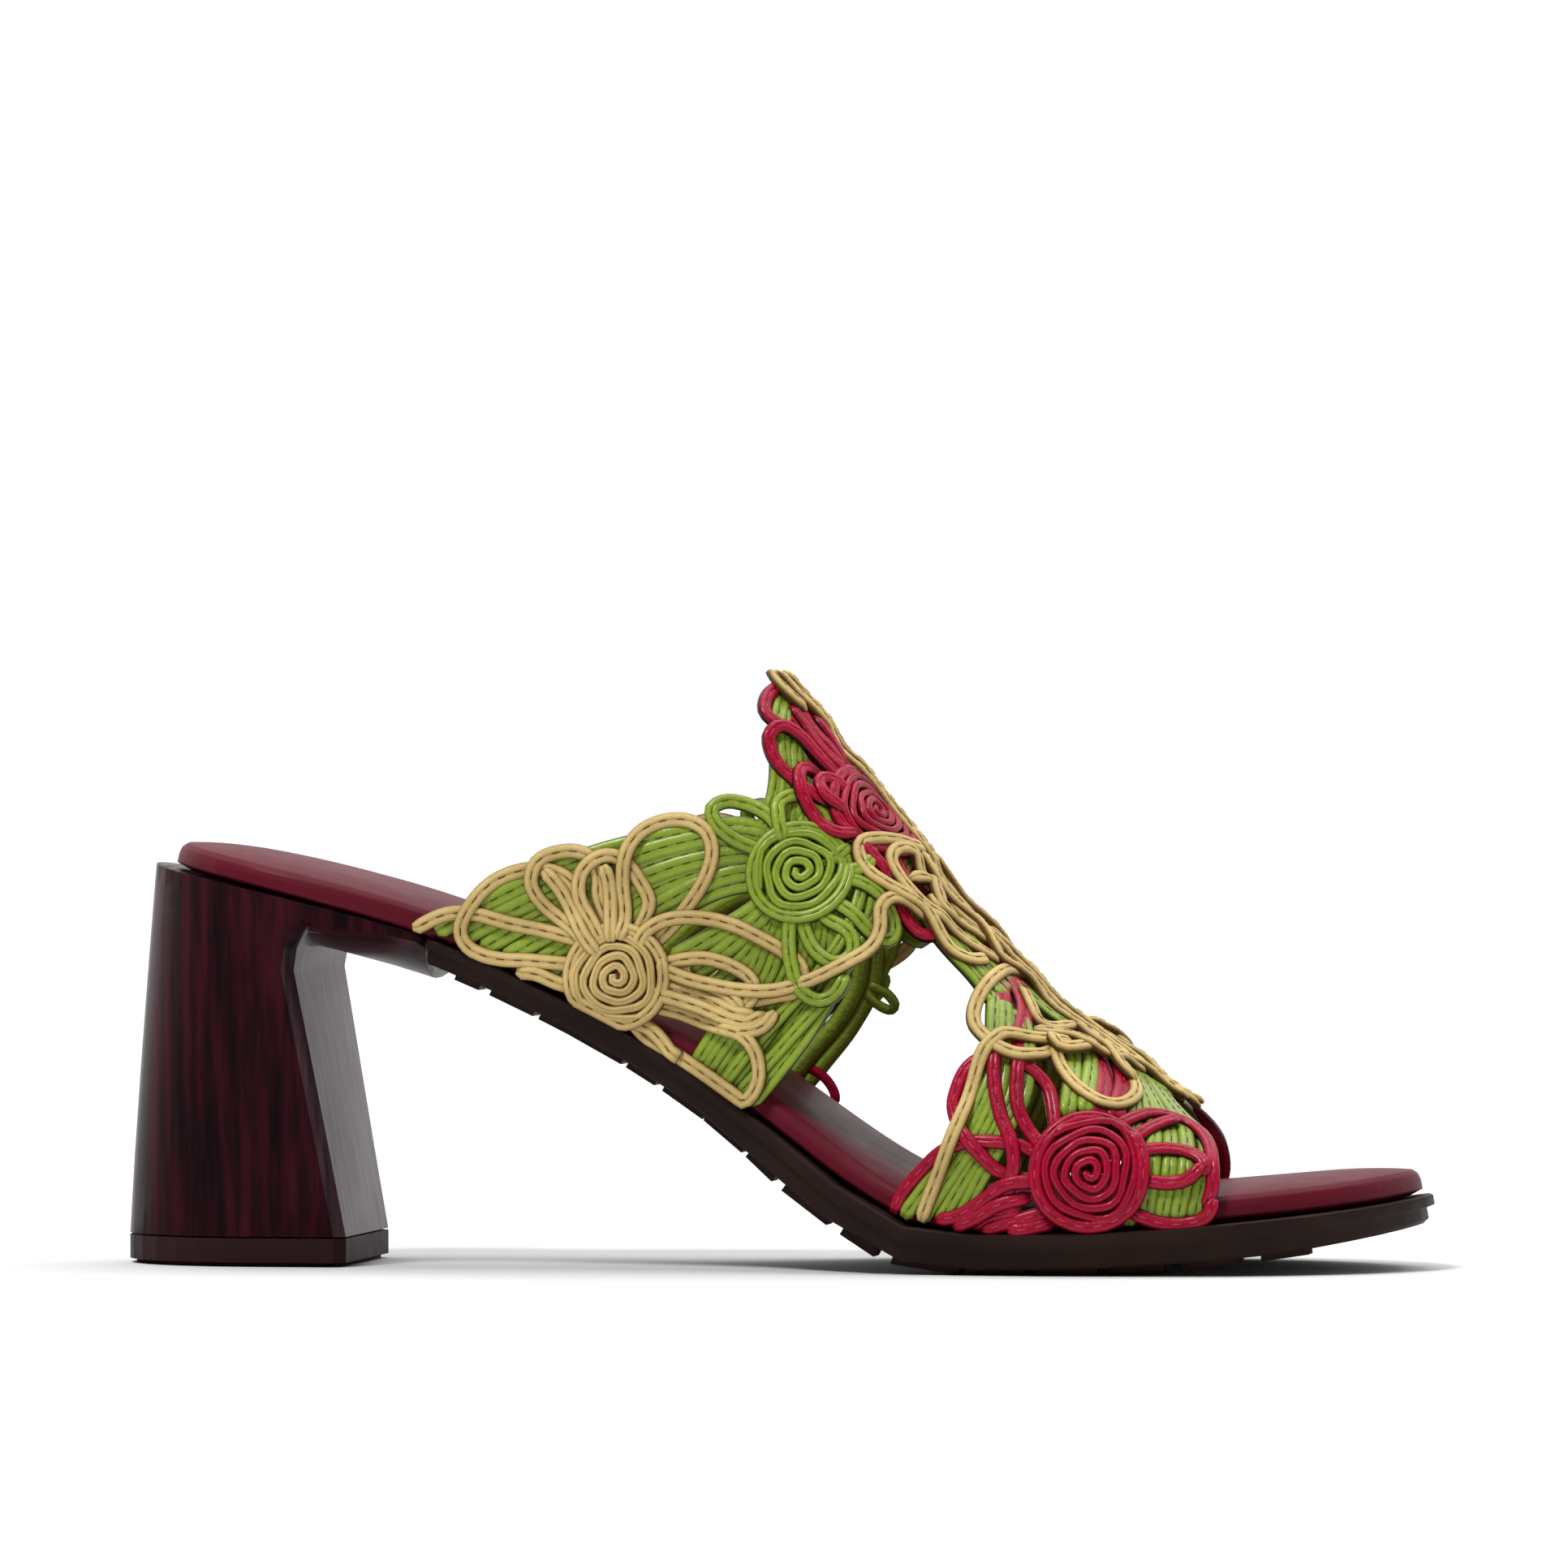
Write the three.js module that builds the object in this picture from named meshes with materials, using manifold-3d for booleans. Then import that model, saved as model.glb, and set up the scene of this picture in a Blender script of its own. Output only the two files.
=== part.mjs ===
// Right-foot slide sandal on a block heel: lace-like upper of coiled and stitched leather cord over a
// wrapped footbed. Millimetres, +X towards the toe, +Z up, lateral side at -Y, floor at Z 0.
import * as THREE from 'three';
import { mergeVertices } from 'three/addons/utils/BufferGeometryUtils.js';
import Module from 'manifold-3d';

const wasm = await Module();
wasm.setup();

// Driving sizes of the last and the sole
const FOOTBED_LENGTH = 230;
const HEEL_SEAT = 72.7;
const BALL_SEAT = 7.4;
const TOE_SPRING = 6.1;
const BALL_WIDTH = 77;
const INSTEP_HEIGHT = 52;
const FIT_GAP = 0.3;

// Footbed
const FOOTBED_SIDE = 5.2;
const FOOTBED_CROWN = 1.5;
const SHOULDER_RADIUS = 2.4;

// Outsole
const OUTSOLE_WAIST = 4.5;
const OUTSOLE_BALL = 6.4;
const OUTSOLE_TOE_THINNING = 1.4;
const WAIST_END = 0.30;
const BALL_START = 0.57;
const TOE_START = 0.90;
const SIDE_STEP = 1.5;
const LUG_DEPTH = 1.0;
const LUG_WIDTH = 7.5;

// Heel
const HEEL_BOTTOM_WIDTH = 46;
const HEEL_TOP_WIDTH = 57;
const HEEL_OVERHANG = 3.4;
const HEEL_BOTTOM_LENGTH = 44;
const HEEL_SET_BACK = 8.5;
const BREAST_SLOPE = 9.2;
const BREAST_FLARE = 13;
const LIFT_HEIGHT = 5.2;
const LIFT_STEP = 0.8;
const LIFT_INSET = 1.2;
const TONGUE_REACH = 51.2;
const TONGUE_BELLY = 8.2;
const TONGUE_EDGE = 4.2;
const TONGUE_START = 20;
const TONGUE_END_TILT = 5;

// Upper
const LIP_HEIGHT = 5.5;
const ARCH_SQUARENESS = 2.6;
const GROUND_THICKNESS = 1.5;
const CORD_WIDTH = 3.3;
const CORD_TOP = 2.7;
const ROSETTE_TOP = 3.3;
const RIB_TOP = 2.0;
const LOWER_EDGE = 0.994;
const TOE_SET_BACK = 10;

// Sections of the last from the heel end to the toe. at: share of the footbed's length. fall: share of
// the drop from heel seat to ball seat. spring: share of the toe spring. lateral, medial: half widths as
// shares of the ball width. lean: forward lean of the girth section, degrees. crest: height of the upper
// over the seat as a share of the instep height. margin: width of the outsole beyond the footbed, mm.
const SECTIONS = [
  { at: 0.000, fall: 1.000, spring: 0.00, lateral: 0.350, medial: 0.350, lean: 16.0, crest: 1.75, margin: 1.0 },
  { at: 0.120, fall: 0.905, spring: 0.00, lateral: 0.357, medial: 0.357, lean: 21.0, crest: 1.75, margin: 1.0 },
  { at: 0.223, fall: 0.805, spring: 0.00, lateral: 0.344, medial: 0.325, lean: 24.6, crest: 1.62, margin: 1.0 },
  { at: 0.339, fall: 0.623, spring: 0.00, lateral: 0.325, medial: 0.292, lean: 26.4, crest: 1.32, margin: 1.1 },
  { at: 0.405, fall: 0.502, spring: 0.00, lateral: 0.331, medial: 0.292, lean: 26.9, crest: 1.17, margin: 1.2 },
  { at: 0.471, fall: 0.358, spring: 0.00, lateral: 0.357, medial: 0.318, lean: 25.4, crest: 1.05, margin: 1.5 },
  { at: 0.537, fall: 0.172, spring: 0.00, lateral: 0.403, medial: 0.370, lean: 22.0, crest: 0.99, margin: 2.5 },
  { at: 0.576, fall: 0.083, spring: 0.00, lateral: 0.435, medial: 0.409, lean: 19.5, crest: 0.955, margin: 3.0 },
  { at: 0.609, fall: 0.021, spring: 0.00, lateral: 0.461, medial: 0.442, lean: 17.0, crest: 0.91, margin: 3.5 },
  { at: 0.667, fall: 0.000, spring: 0.00, lateral: 0.487, medial: 0.487, lean: 14.7, crest: 0.765, margin: 3.6 },
  { at: 0.731, fall: 0.000, spring: 0.02, lateral: 0.494, medial: 0.506, lean: 11.3, crest: 0.60, margin: 3.6 },
  { at: 0.795, fall: 0.000, spring: 0.13, lateral: 0.474, medial: 0.500, lean: 7.4, crest: 0.425, margin: 3.6 },
  { at: 0.844, fall: 0.000, spring: 0.28, lateral: 0.458, medial: 0.492, lean: 5.0, crest: 0.33, margin: 3.4 },
  { at: 0.917, fall: 0.000, spring: 0.557, lateral: 0.428, medial: 0.466, lean: 2.0, crest: 0.24, margin: 2.2 },
  { at: 0.976, fall: 0.000, spring: 0.836, lateral: 0.400, medial: 0.440, lean: 0.0, crest: 0.16, margin: 1.5 },
  { at: 1.000, fall: 0.000, spring: 1.000, lateral: 0.380, medial: 0.420, lean: 0.0, crest: 0.12, margin: 1.5 },
];
const HEEL_CAP = 0.117;
const TOE_CAP = 0.148;

// A smooth curve through one column of a table, without overshoot
function column(rows, name) {
  const x = rows.map((row) => row.at);
  const y = rows.map((row) => row[name]);
  const step = x.slice(1).map((v, i) => v - x[i]);
  const slope = step.map((v, i) => (y[i + 1] - y[i]) / v);
  const tangent = y.map((_, i) => {
    if (i === 0) return slope[0];
    if (i === y.length - 1) return slope[i - 1];
    if (slope[i - 1] * slope[i] <= 0) return 0;
    const a = 2 * step[i] + step[i - 1];
    const b = step[i] + 2 * step[i - 1];
    return (a + b) / (a / slope[i - 1] + b / slope[i]);
  });
  return (t) => {
    let i = 0;
    while (i < step.length - 1 && t > x[i + 1]) i += 1;
    const u = (t - x[i]) / step[i];
    const rise = u * u * (3 - 2 * u);
    const swing = step[i] * u * (1 - u);
    return y[i] * (1 - rise) + y[i + 1] * rise + swing * ((1 - u) * tangent[i] - u * tangent[i + 1]);
  };
}

const fall = column(SECTIONS, 'fall');
const spring = column(SECTIONS, 'spring');
const lateral = column(SECTIONS, 'lateral');
const medial = column(SECTIONS, 'medial');
const lean = column(SECTIONS, 'lean');
const crest = column(SECTIONS, 'crest');
const margin = column(SECTIONS, 'margin');

// Height of the footbed's underside at a share of its length
function seat(at) {
  return BALL_SEAT + (HEEL_SEAT - BALL_SEAT) * fall(at) + TOE_SPRING * spring(at);
}

// Half width of the footbed on one side, side -1 lateral or 1 medial
function halfWidth(at, side) {
  const heel = Math.min(Math.max(at / HEEL_CAP, 0), 1);
  const toe = Math.min(Math.max((1 - at) / TOE_CAP, 0), 1);
  const round = Math.sqrt(1 - (1 - heel) ** 2) * Math.sqrt(1 - (1 - toe) ** 2);
  return BALL_WIDTH * (side < 0 ? lateral(at) : medial(at)) * round;
}

// Solids and meshes

function toSolid(geometry) {
  const bare = new THREE.BufferGeometry();
  bare.setAttribute('position', geometry.getAttribute('position').clone());
  if (geometry.index) bare.setIndex(geometry.index.clone());
  const merged = mergeVertices(bare, 1e-4);
  const vertProperties = new Float32Array(merged.getAttribute('position').array);
  const triVerts = new Uint32Array(merged.index.array);
  return new wasm.Manifold(new wasm.Mesh({ numProp: 3, vertProperties, triVerts }));
}

function toGeometry(solid) {
  const mesh = solid.getMesh();
  const geometry = new THREE.BufferGeometry();
  geometry.setAttribute('position', new THREE.BufferAttribute(new Float32Array(mesh.vertProperties), 3));
  geometry.setIndex([...mesh.triVerts]);
  return geometry;
}

// Joins solids two by two, which keeps each join small
function joinAll(solids) {
  let level = solids;
  while (level.length > 1) {
    const next = [];
    for (let i = 0; i < level.length; i += 2) {
      next.push(i + 1 < level.length ? level[i].add(level[i + 1]) : level[i]);
    }
    level = next;
  }
  return level[0];
}

// A closed skin over rings of equal point count. Each ring runs once round and the two ends are closed
// by ladders between its mirrored points.
function ringSolid(rings) {
  const count = rings[0].length;
  const positions = rings.flat(2);
  const index = [];
  for (let r = 0; r + 1 < rings.length; r += 1) {
    for (let i = 0; i < count; i += 1) {
      const j = (i + 1) % count;
      const a = r * count + i;
      const b = r * count + j;
      index.push(a, b, b + count, a, b + count, a + count);
    }
  }
  const top = (rings.length - 1) * count;
  for (let i = 0; i < count / 2; i += 1) {
    const j = (count - i) % count;
    const k = count - i - 1;
    for (const [base, turned] of [[0, false], [top, true]]) {
      const quad = [base + i, base + i + 1, base + k, base + j];
      const faces = [[quad[0], quad[2], quad[1]], [quad[0], quad[3], quad[2]]];
      for (const face of faces) {
        if (new Set(face).size === 3) index.push(...(turned ? [...face].reverse() : face));
      }
    }
  }
  const geometry = new THREE.BufferGeometry();
  geometry.setAttribute('position', new THREE.BufferAttribute(new Float32Array(positions), 3));
  geometry.setIndex(index);
  return toSolid(geometry);
}

// Footbed, outsole and heel

const OUTLINE_STEPS = 28;

// Points round the sole in plan, each with its outward direction: heel end, lateral side, toe, medial
function planOutline(grow) {
  const plan = [];
  const point = (step, side) => {
    const share = (1 - Math.cos((Math.PI * step) / OUTLINE_STEPS)) / 2;
    return new THREE.Vector2(FOOTBED_LENGTH * share, side * halfWidth(share, side));
  };
  for (let i = 0; i <= OUTLINE_STEPS; i += 1) plan.push(point(i, -1));
  for (let i = OUTLINE_STEPS - 1; i > 0; i -= 1) plan.push(point(i, 1));
  return plan.map((here, i) => {
    const before = plan[(i + plan.length - 1) % plan.length];
    const after = plan[(i + 1) % plan.length];
    const along = after.clone().sub(before).normalize();
    const out = new THREE.Vector2(along.y, -along.x);
    const at = Math.min(Math.max(here.x / FOOTBED_LENGTH, 0), 1);
    return here.clone().addScaledVector(out, grow(at));
  });
}

// A point over the footbed's underside, square to it
function overSeat(x, y, height) {
  const at = Math.min(Math.max(x / FOOTBED_LENGTH, 0.001), 0.999);
  const slope = (seat(at + 0.001) - seat(at - 0.001)) / (0.002 * FOOTBED_LENGTH);
  const length = Math.hypot(1, slope);
  const base = seat(at) + slope * (x - at * FOOTBED_LENGTH);
  return [x - (slope / length) * height, y, base + height / length];
}

// One ring of the sole: grow and height are lengths or functions of the share of the length
function soleRing(grow, height) {
  const size = (value) => (typeof value === 'function' ? value : () => value);
  return planOutline(size(grow)).map((p) => {
    const at = Math.min(Math.max(p.x / FOOTBED_LENGTH, 0), 1);
    return overSeat(p.x, p.y, size(height)(at));
  });
}

function makeFootbed() {
  const round = SHOULDER_RADIUS;
  const rings = [soleRing(-round, FIT_GAP), soleRing(0, FIT_GAP + 0.8)];
  for (let i = 0; i <= 3; i += 1) {
    const turn = (i / 3) * (Math.PI / 2);
    rings.push(soleRing(-round * (1 - Math.cos(turn)), FOOTBED_SIDE - round + round * Math.sin(turn)));
  }
  rings.push(soleRing(-3 * round, FOOTBED_SIDE + FOOTBED_CROWN * 0.6));
  rings.push(soleRing(-6 * round, FOOTBED_SIDE + FOOTBED_CROWN));
  return ringSolid(rings);
}

// Outsole thickness, square to the seat: thin at the waist, full from the ball on
function outsoleThickness(at) {
  const share = Math.min(Math.max((at - WAIST_END) / (BALL_START - WAIST_END), 0), 1);
  const full = OUTSOLE_WAIST + (OUTSOLE_BALL - OUTSOLE_WAIST) * share * share * (3 - 2 * share);
  const thin = Math.min(Math.max((at - TOE_START) / (1 - TOE_START), 0), 1);
  return full - OUTSOLE_TOE_THINNING * thin;
}

// Lug rows along both edges of the sole. at: centre as a share of the length. length: along the sole, mm.
const LUGS = [
  { at: 0.262, length: 4.5 }, { at: 0.298, length: 8 }, { at: 0.332, length: 5.5 },
  { at: 0.366, length: 10 }, { at: 0.404, length: 5.5 }, { at: 0.440, length: 8 },
  { at: 0.476, length: 8 }, { at: 0.508, length: 5 }, { at: 0.544, length: 8 },
  { at: 0.585, length: 6 }, { at: 0.630, length: 11 }, { at: 0.684, length: 9 },
  { at: 0.735, length: 11 }, { at: 0.790, length: 9 }, { at: 0.845, length: 10 },
  { at: 0.900, length: 8 },
];

function block(corners) {
  // corners: four bottom corners round, then the four above them
  const geometry = new THREE.BufferGeometry();
  geometry.setAttribute('position', new THREE.BufferAttribute(new Float32Array(corners.flat()), 3));
  geometry.setIndex([0, 2, 1, 0, 3, 2, 4, 5, 6, 4, 6, 7, 0, 1, 5, 0, 5, 4, 1, 2, 6, 1, 6, 5,
    2, 3, 7, 2, 7, 6, 3, 0, 4, 3, 4, 7]);
  return toSolid(geometry);
}

function makeLugs() {
  const inset = SIDE_STEP + 2;
  const lugs = [];
  for (const { at, length } of LUGS) {
    for (const side of [-1, 1]) {
      const corners = [];
      const depth = (share) => -outsoleThickness(share);
      for (const lift of [-LUG_DEPTH, 1]) {
        for (const [end, edge] of [[-1, 0], [1, 0], [1, 1], [-1, 1]]) {
          const share = at + (end * length) / 2 / FOOTBED_LENGTH;
          const outer = halfWidth(share, side) + margin(share) - inset;
          const y = side * (outer - edge * LUG_WIDTH);
          corners.push(overSeat(share * FOOTBED_LENGTH, y, depth(share) + lift));
        }
      }
      const order = side < 0 ? [0, 1, 2, 3, 4, 5, 6, 7] : [3, 2, 1, 0, 7, 6, 5, 4];
      lugs.push(block(order.map((i) => corners[i])));
    }
  }
  return lugs;
}

function makeOutsole() {
  const depth = (share) => (at) => -outsoleThickness(at) * share;
  const rings = [
    soleRing((at) => margin(at) - SIDE_STEP - 6, depth(1)),
    soleRing((at) => margin(at) - SIDE_STEP - 1.2, depth(1)),
    soleRing((at) => margin(at) - SIDE_STEP, depth(0.86)),
    soleRing((at) => margin(at) - SIDE_STEP, depth(0.47)),
    soleRing((at) => margin(at), depth(0.40)),
    soleRing((at) => margin(at), depth(0.06)),
    soleRing((at) => margin(at) - 0.6, 0),
    soleRing(-SHOULDER_RADIUS, 0),
  ];
  const whole = joinAll([ringSolid(rings), ...makeLugs()]);
  const [behind, top] = [-30, 120];
  const low = TONGUE_REACH + FIT_GAP - TONGUE_END_TILT;
  const high = TONGUE_REACH + FIT_GAP + TONGUE_END_TILT;
  const rear = block([
    [behind, -BALL_WIDTH, -5], [low, -BALL_WIDTH, -5], [low, BALL_WIDTH, -5], [behind, BALL_WIDTH, -5],
    [behind, -BALL_WIDTH, top], [high, -BALL_WIDTH, top], [high, BALL_WIDTH, top], [behind, BALL_WIDTH, top],
  ]);
  return whole.subtract(rear);
}

// One level of the heel in plan: a straight breast in front, straight sides and a round back
function heelRing(height, back, front, half, backRound) {
  const steps = 8;
  const ring = [];
  const corner = 2;
  ring.push([back, 0, height]);
  for (let i = 1; i <= steps; i += 1) {
    const turn = (i / steps) * (Math.PI / 2);
    ring.push([back + backRound * (1 - Math.cos(turn)), -half * Math.sin(turn), height]);
  }
  ring.push([front - corner, -half, height], [front, -half + corner, height]);
  const other = ring.slice(1).reverse().map(([x, y, z]) => [x, -y, z]);
  return [...ring, ...other];
}

const heelShare = (height) => (height - LIFT_HEIGHT) / (HEEL_SEAT - LIFT_HEIGHT);

// Back line and breast line of the heel from the side, and its half width, at a height
function heelLevel(height) {
  const share = Math.max(heelShare(height), 0);
  const back = -HEEL_SET_BACK + (HEEL_SET_BACK - HEEL_OVERHANG) * share ** 1.15;
  const foot = HEEL_BOTTOM_LENGTH - HEEL_SET_BACK;
  const half = (HEEL_BOTTOM_WIDTH + (HEEL_TOP_WIDTH - HEEL_BOTTOM_WIDTH) * share ** 1.2) / 2;
  const flare = Math.max(share - 0.72, 0) / 0.28;
  const front = foot - BREAST_SLOPE * Math.min(share / 0.74, 1) + BREAST_FLARE * flare ** 1.8;
  return { back, front, half };
}

function makeHeelBlock() {
  const base = LIFT_HEIGHT + FIT_GAP;
  const levels = [base, 20, 35, 48, 54, 58, 61, 65, HEEL_SEAT + 8];
  const rings = levels.map((height) => {
    const { back, front, half } = heelLevel(height);
    return heelRing(height, back, front, half, HEEL_CAP * FOOTBED_LENGTH);
  });
  const tongue = makeTongue();
  return joinAll([ringSolid(rings), tongue]).subtract(aboveSeat());
}

// The tongue under the waist: flat above, bellied below, thin at its edges
function makeTongue() {
  const rings = [0, 0.25, 0.5, 0.75, 1].map((share) => {
    const x = TONGUE_START + (TONGUE_REACH - TONGUE_START) * share;
    const at = x / FOOTBED_LENGTH;
    const half = Math.min(halfWidth(at, -1), halfWidth(at, 1)) - 0.2;
    const edge = TONGUE_EDGE - 3 * share;
    const ring = [];
    const steps = 6;
    for (let i = -steps; i <= steps; i += 1) {
      const across = i / steps;
      const depth = edge + (TONGUE_BELLY - edge) * (1 - Math.abs(across) ** 2.2);
      ring.push(overSeat(x, across * half, -depth));
    }
    ring.push(overSeat(x, half, 3), overSeat(x, -half, 3));
    return [...ring.slice(steps), ...ring.slice(0, steps)];
  });
  return fanSolid(rings);
}

// A closed skin over rings whose ends are closed by fans from their first point
function fanSolid(rings) {
  const count = rings[0].length;
  const index = [];
  for (let r = 0; r + 1 < rings.length; r += 1) {
    for (let i = 0; i < count; i += 1) {
      const a = r * count + i;
      const b = r * count + ((i + 1) % count);
      index.push(a, b, b + count, a, b + count, a + count);
    }
  }
  const top = (rings.length - 1) * count;
  for (let i = 1; i + 1 < count; i += 1) {
    index.push(0, i + 1, i);
    index.push(top, top + i, top + i + 1);
  }
  const geometry = new THREE.BufferGeometry();
  geometry.setAttribute('position', new THREE.BufferAttribute(new Float32Array(rings.flat(2)), 3));
  geometry.setIndex(index);
  return toSolid(geometry);
}

// All that lies above the footbed's underside at the heel, to shape what carries it
function aboveSeat() {
  const profile = [];
  for (let x = -20; x <= 60; x += 5) {
    const [px, , pz] = overSeat(x, 0, 0);
    profile.push(new THREE.Vector2(px, pz));
  }
  profile.push(new THREE.Vector2(60, 2 * HEEL_SEAT), new THREE.Vector2(-20, 2 * HEEL_SEAT));
  const width = 2 * HEEL_TOP_WIDTH;
  const geometry = new THREE.ExtrudeGeometry(new THREE.Shape(profile), { depth: width, bevelEnabled: false });
  geometry.rotateX(Math.PI / 2).translate(0, width / 2, 0);
  return toSolid(geometry);
}

function makeHeelLift() {
  const { back, front, half } = heelLevel(LIFT_HEIGHT);
  const roundBack = HEEL_CAP * FOOTBED_LENGTH;
  const ring = (height, inset) => {
    return heelRing(height, back + inset, front - inset, half - inset, roundBack - inset);
  };
  return ringSolid([ring(0, LIFT_INSET), ring(LIFT_STEP, LIFT_INSET), ring(LIFT_STEP, 0), ring(LIFT_HEIGHT, 0)]);
}

// The upper's skin over the last

const ARC_STEPS = 32;

// The front of the toe part lies further back on the medial side
function sweptBack(at, girth, side) {
  if (side < 0) return at;
  const { smoothstep } = THREE.MathUtils;
  return at - (TOE_SET_BACK / FOOTBED_LENGTH) * smoothstep(at, 0.62, 0.80) * smoothstep(Math.abs(girth), 0, 0.5);
}

// Inner face of the upper. girth: share of the way from the ridge (0) down to the sole's edge (1).
function skin(length, girth, side) {
  const at = sweptBack(length, girth, side);
  const height = INSTEP_HEIGHT * crest(at);
  const half = halfWidth(at, side) + FIT_GAP;
  const power = 2 / ARCH_SQUARENESS;
  const points = [];
  const lengths = [0];
  for (let i = 0; i <= ARC_STEPS; i += 1) {
    const turn = (i / ARC_STEPS) * (Math.PI / 2);
    const y = half * Math.sin(turn) ** power;
    const rise = LIP_HEIGHT + (height - LIP_HEIGHT) * Math.max(Math.cos(turn), 0) ** power;
    points.push([y, rise]);
    if (i > 0) lengths.push(lengths[i - 1] + Math.hypot(y - points[i - 1][0], rise - points[i - 1][1]));
  }
  const total = lengths[ARC_STEPS] + LIP_HEIGHT - FIT_GAP;
  const reach = Math.abs(girth) * total;
  let [y, rise] = [half, FIT_GAP + total - reach];
  if (reach < lengths[ARC_STEPS]) {
    let i = 0;
    while (lengths[i + 1] < reach) i += 1;
    const share = (reach - lengths[i]) / (lengths[i + 1] - lengths[i]);
    y = points[i][0] * (1 - share) + points[i + 1][0] * share;
    rise = points[i][1] * (1 - share) + points[i + 1][1] * share;
  }
  const turn = THREE.MathUtils.degToRad(lean(at));
  const across = side * Math.sign(girth || 1) * y;
  return new THREE.Vector3(FOOTBED_LENGTH * at + rise * Math.sin(turn), across, seat(at) + rise * Math.cos(turn));
}

const SLOPE_STEP = 0.004;

// The two directions of the skin at a point, per unit of length share and of girth share
function skinSlopes(at, girth, side) {
  const along = skin(at + SLOPE_STEP, girth, side).sub(skin(at - SLOPE_STEP, girth, side));
  const down = skin(at, girth + SLOPE_STEP, side).sub(skin(at, girth - SLOPE_STEP, side));
  return [along.divideScalar(2 * SLOPE_STEP), down.divideScalar(2 * SLOPE_STEP)];
}

// Moves a point of the skin by millimetres: forward along the sole line, and up towards the ridge
function move([at, girth], forward, up, side) {
  const steps = 3;
  for (let i = 0; i < steps; i += 1) {
    const [along, down] = skinSlopes(at, girth, side);
    const a = along.lengthSq();
    const b = along.dot(down);
    const c = down.lengthSq();
    const first = (forward / steps) * Math.sqrt(a);
    const upward = down.clone().addScaledVector(along, -b / a).normalize().multiplyScalar(-up / steps);
    const second = (forward / steps) * (b / Math.sqrt(a)) + upward.dot(down);
    const area = a * c - b * b;
    at += (first * c - second * b) / area;
    girth += (second * a - first * b) / area;
  }
  return [at, girth];
}

// Sideways step on the skin, square to a direction, of the given length
function sideStep([at, girth], [da, dg], length, side) {
  const [along, down] = skinSlopes(at, girth, side);
  const a = along.lengthSq();
  const b = along.dot(down);
  const c = down.lengthSq();
  const na = -(b * da + c * dg);
  const ng = a * da + b * dg;
  const size = Math.sqrt(a * na * na + 2 * b * na * ng + c * ng * ng) || 1;
  return [at + (na / size) * length, girth + (ng / size) * length];
}

// Flat map of the skin: length share and signed girth share to millimetres, thickness upwards
const MAP_GIRTH = 66;
const onMap = ([at, girth], side) => new THREE.Vector2(at * FOOTBED_LENGTH, side * girth * MAP_GIRTH);

// A flat plate of the map between two thicknesses, from an outline and its holes
function plate(outline, holes, from, to) {
  const shape = new THREE.Shape(outline);
  shape.holes = holes.map((hole) => new THREE.Path(hole));
  const geometry = new THREE.ExtrudeGeometry(shape, { depth: to - from, bevelEnabled: false, steps: 1 });
  geometry.translate(0, 0, from);
  return toSolid(geometry);
}

function curvePoints(points, closed, count) {
  const curve = new THREE.CatmullRomCurve3(points.map(([a, g]) => new THREE.Vector3(a, g, 0)), closed);
  const list = curve.getPoints(count).map((p) => [p.x, p.y]);
  return closed ? list.slice(0, -1) : list;
}

// A cord laid along a route of the skin, with blunt rounded ends
function cord(points, side, width, count, top) {
  const route = curvePoints(points, false, count);
  const [left, right] = [[], []];
  route.forEach((here, i) => {
    const before = route[Math.max(i - 1, 0)];
    const after = route[Math.min(i + 1, route.length - 1)];
    const way = [after[0] - before[0], after[1] - before[1]];
    const blunt = i === 0 || i === route.length - 1 ? 0.6 : 1;
    left.push(onMap(sideStep(here, way, (blunt * width) / 2, side), side));
    right.push(onMap(sideStep(here, way, (-blunt * width) / 2, side), side));
  });
  return plate([...left, ...right.reverse()], [], 0, top);
}

// A closed loop of cord from its outer and its inner rim
function loop(outer, inner, side, top) {
  const rim = plate(outer.map((p) => onMap(p, side)), [], 0, top);
  if (!inner) return rim;
  return rim.subtract(plate(inner.map((p) => onMap(p, side)), [], -1, top + 1));
}

// Rosettes: coiled cord. at, girth: centre. radius: mm.
const ROSETTES = {
  cream: { at: 0.366, girth: 0.905, radius: 9.2 },
  green: { at: 0.440, girth: 0.434, radius: 8.8 },
  pink: { at: 0.460, girth: 0.130, radius: 8.6 },
  toe: { at: 0.746, girth: 0.812, radius: 10.6 },
};

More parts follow.
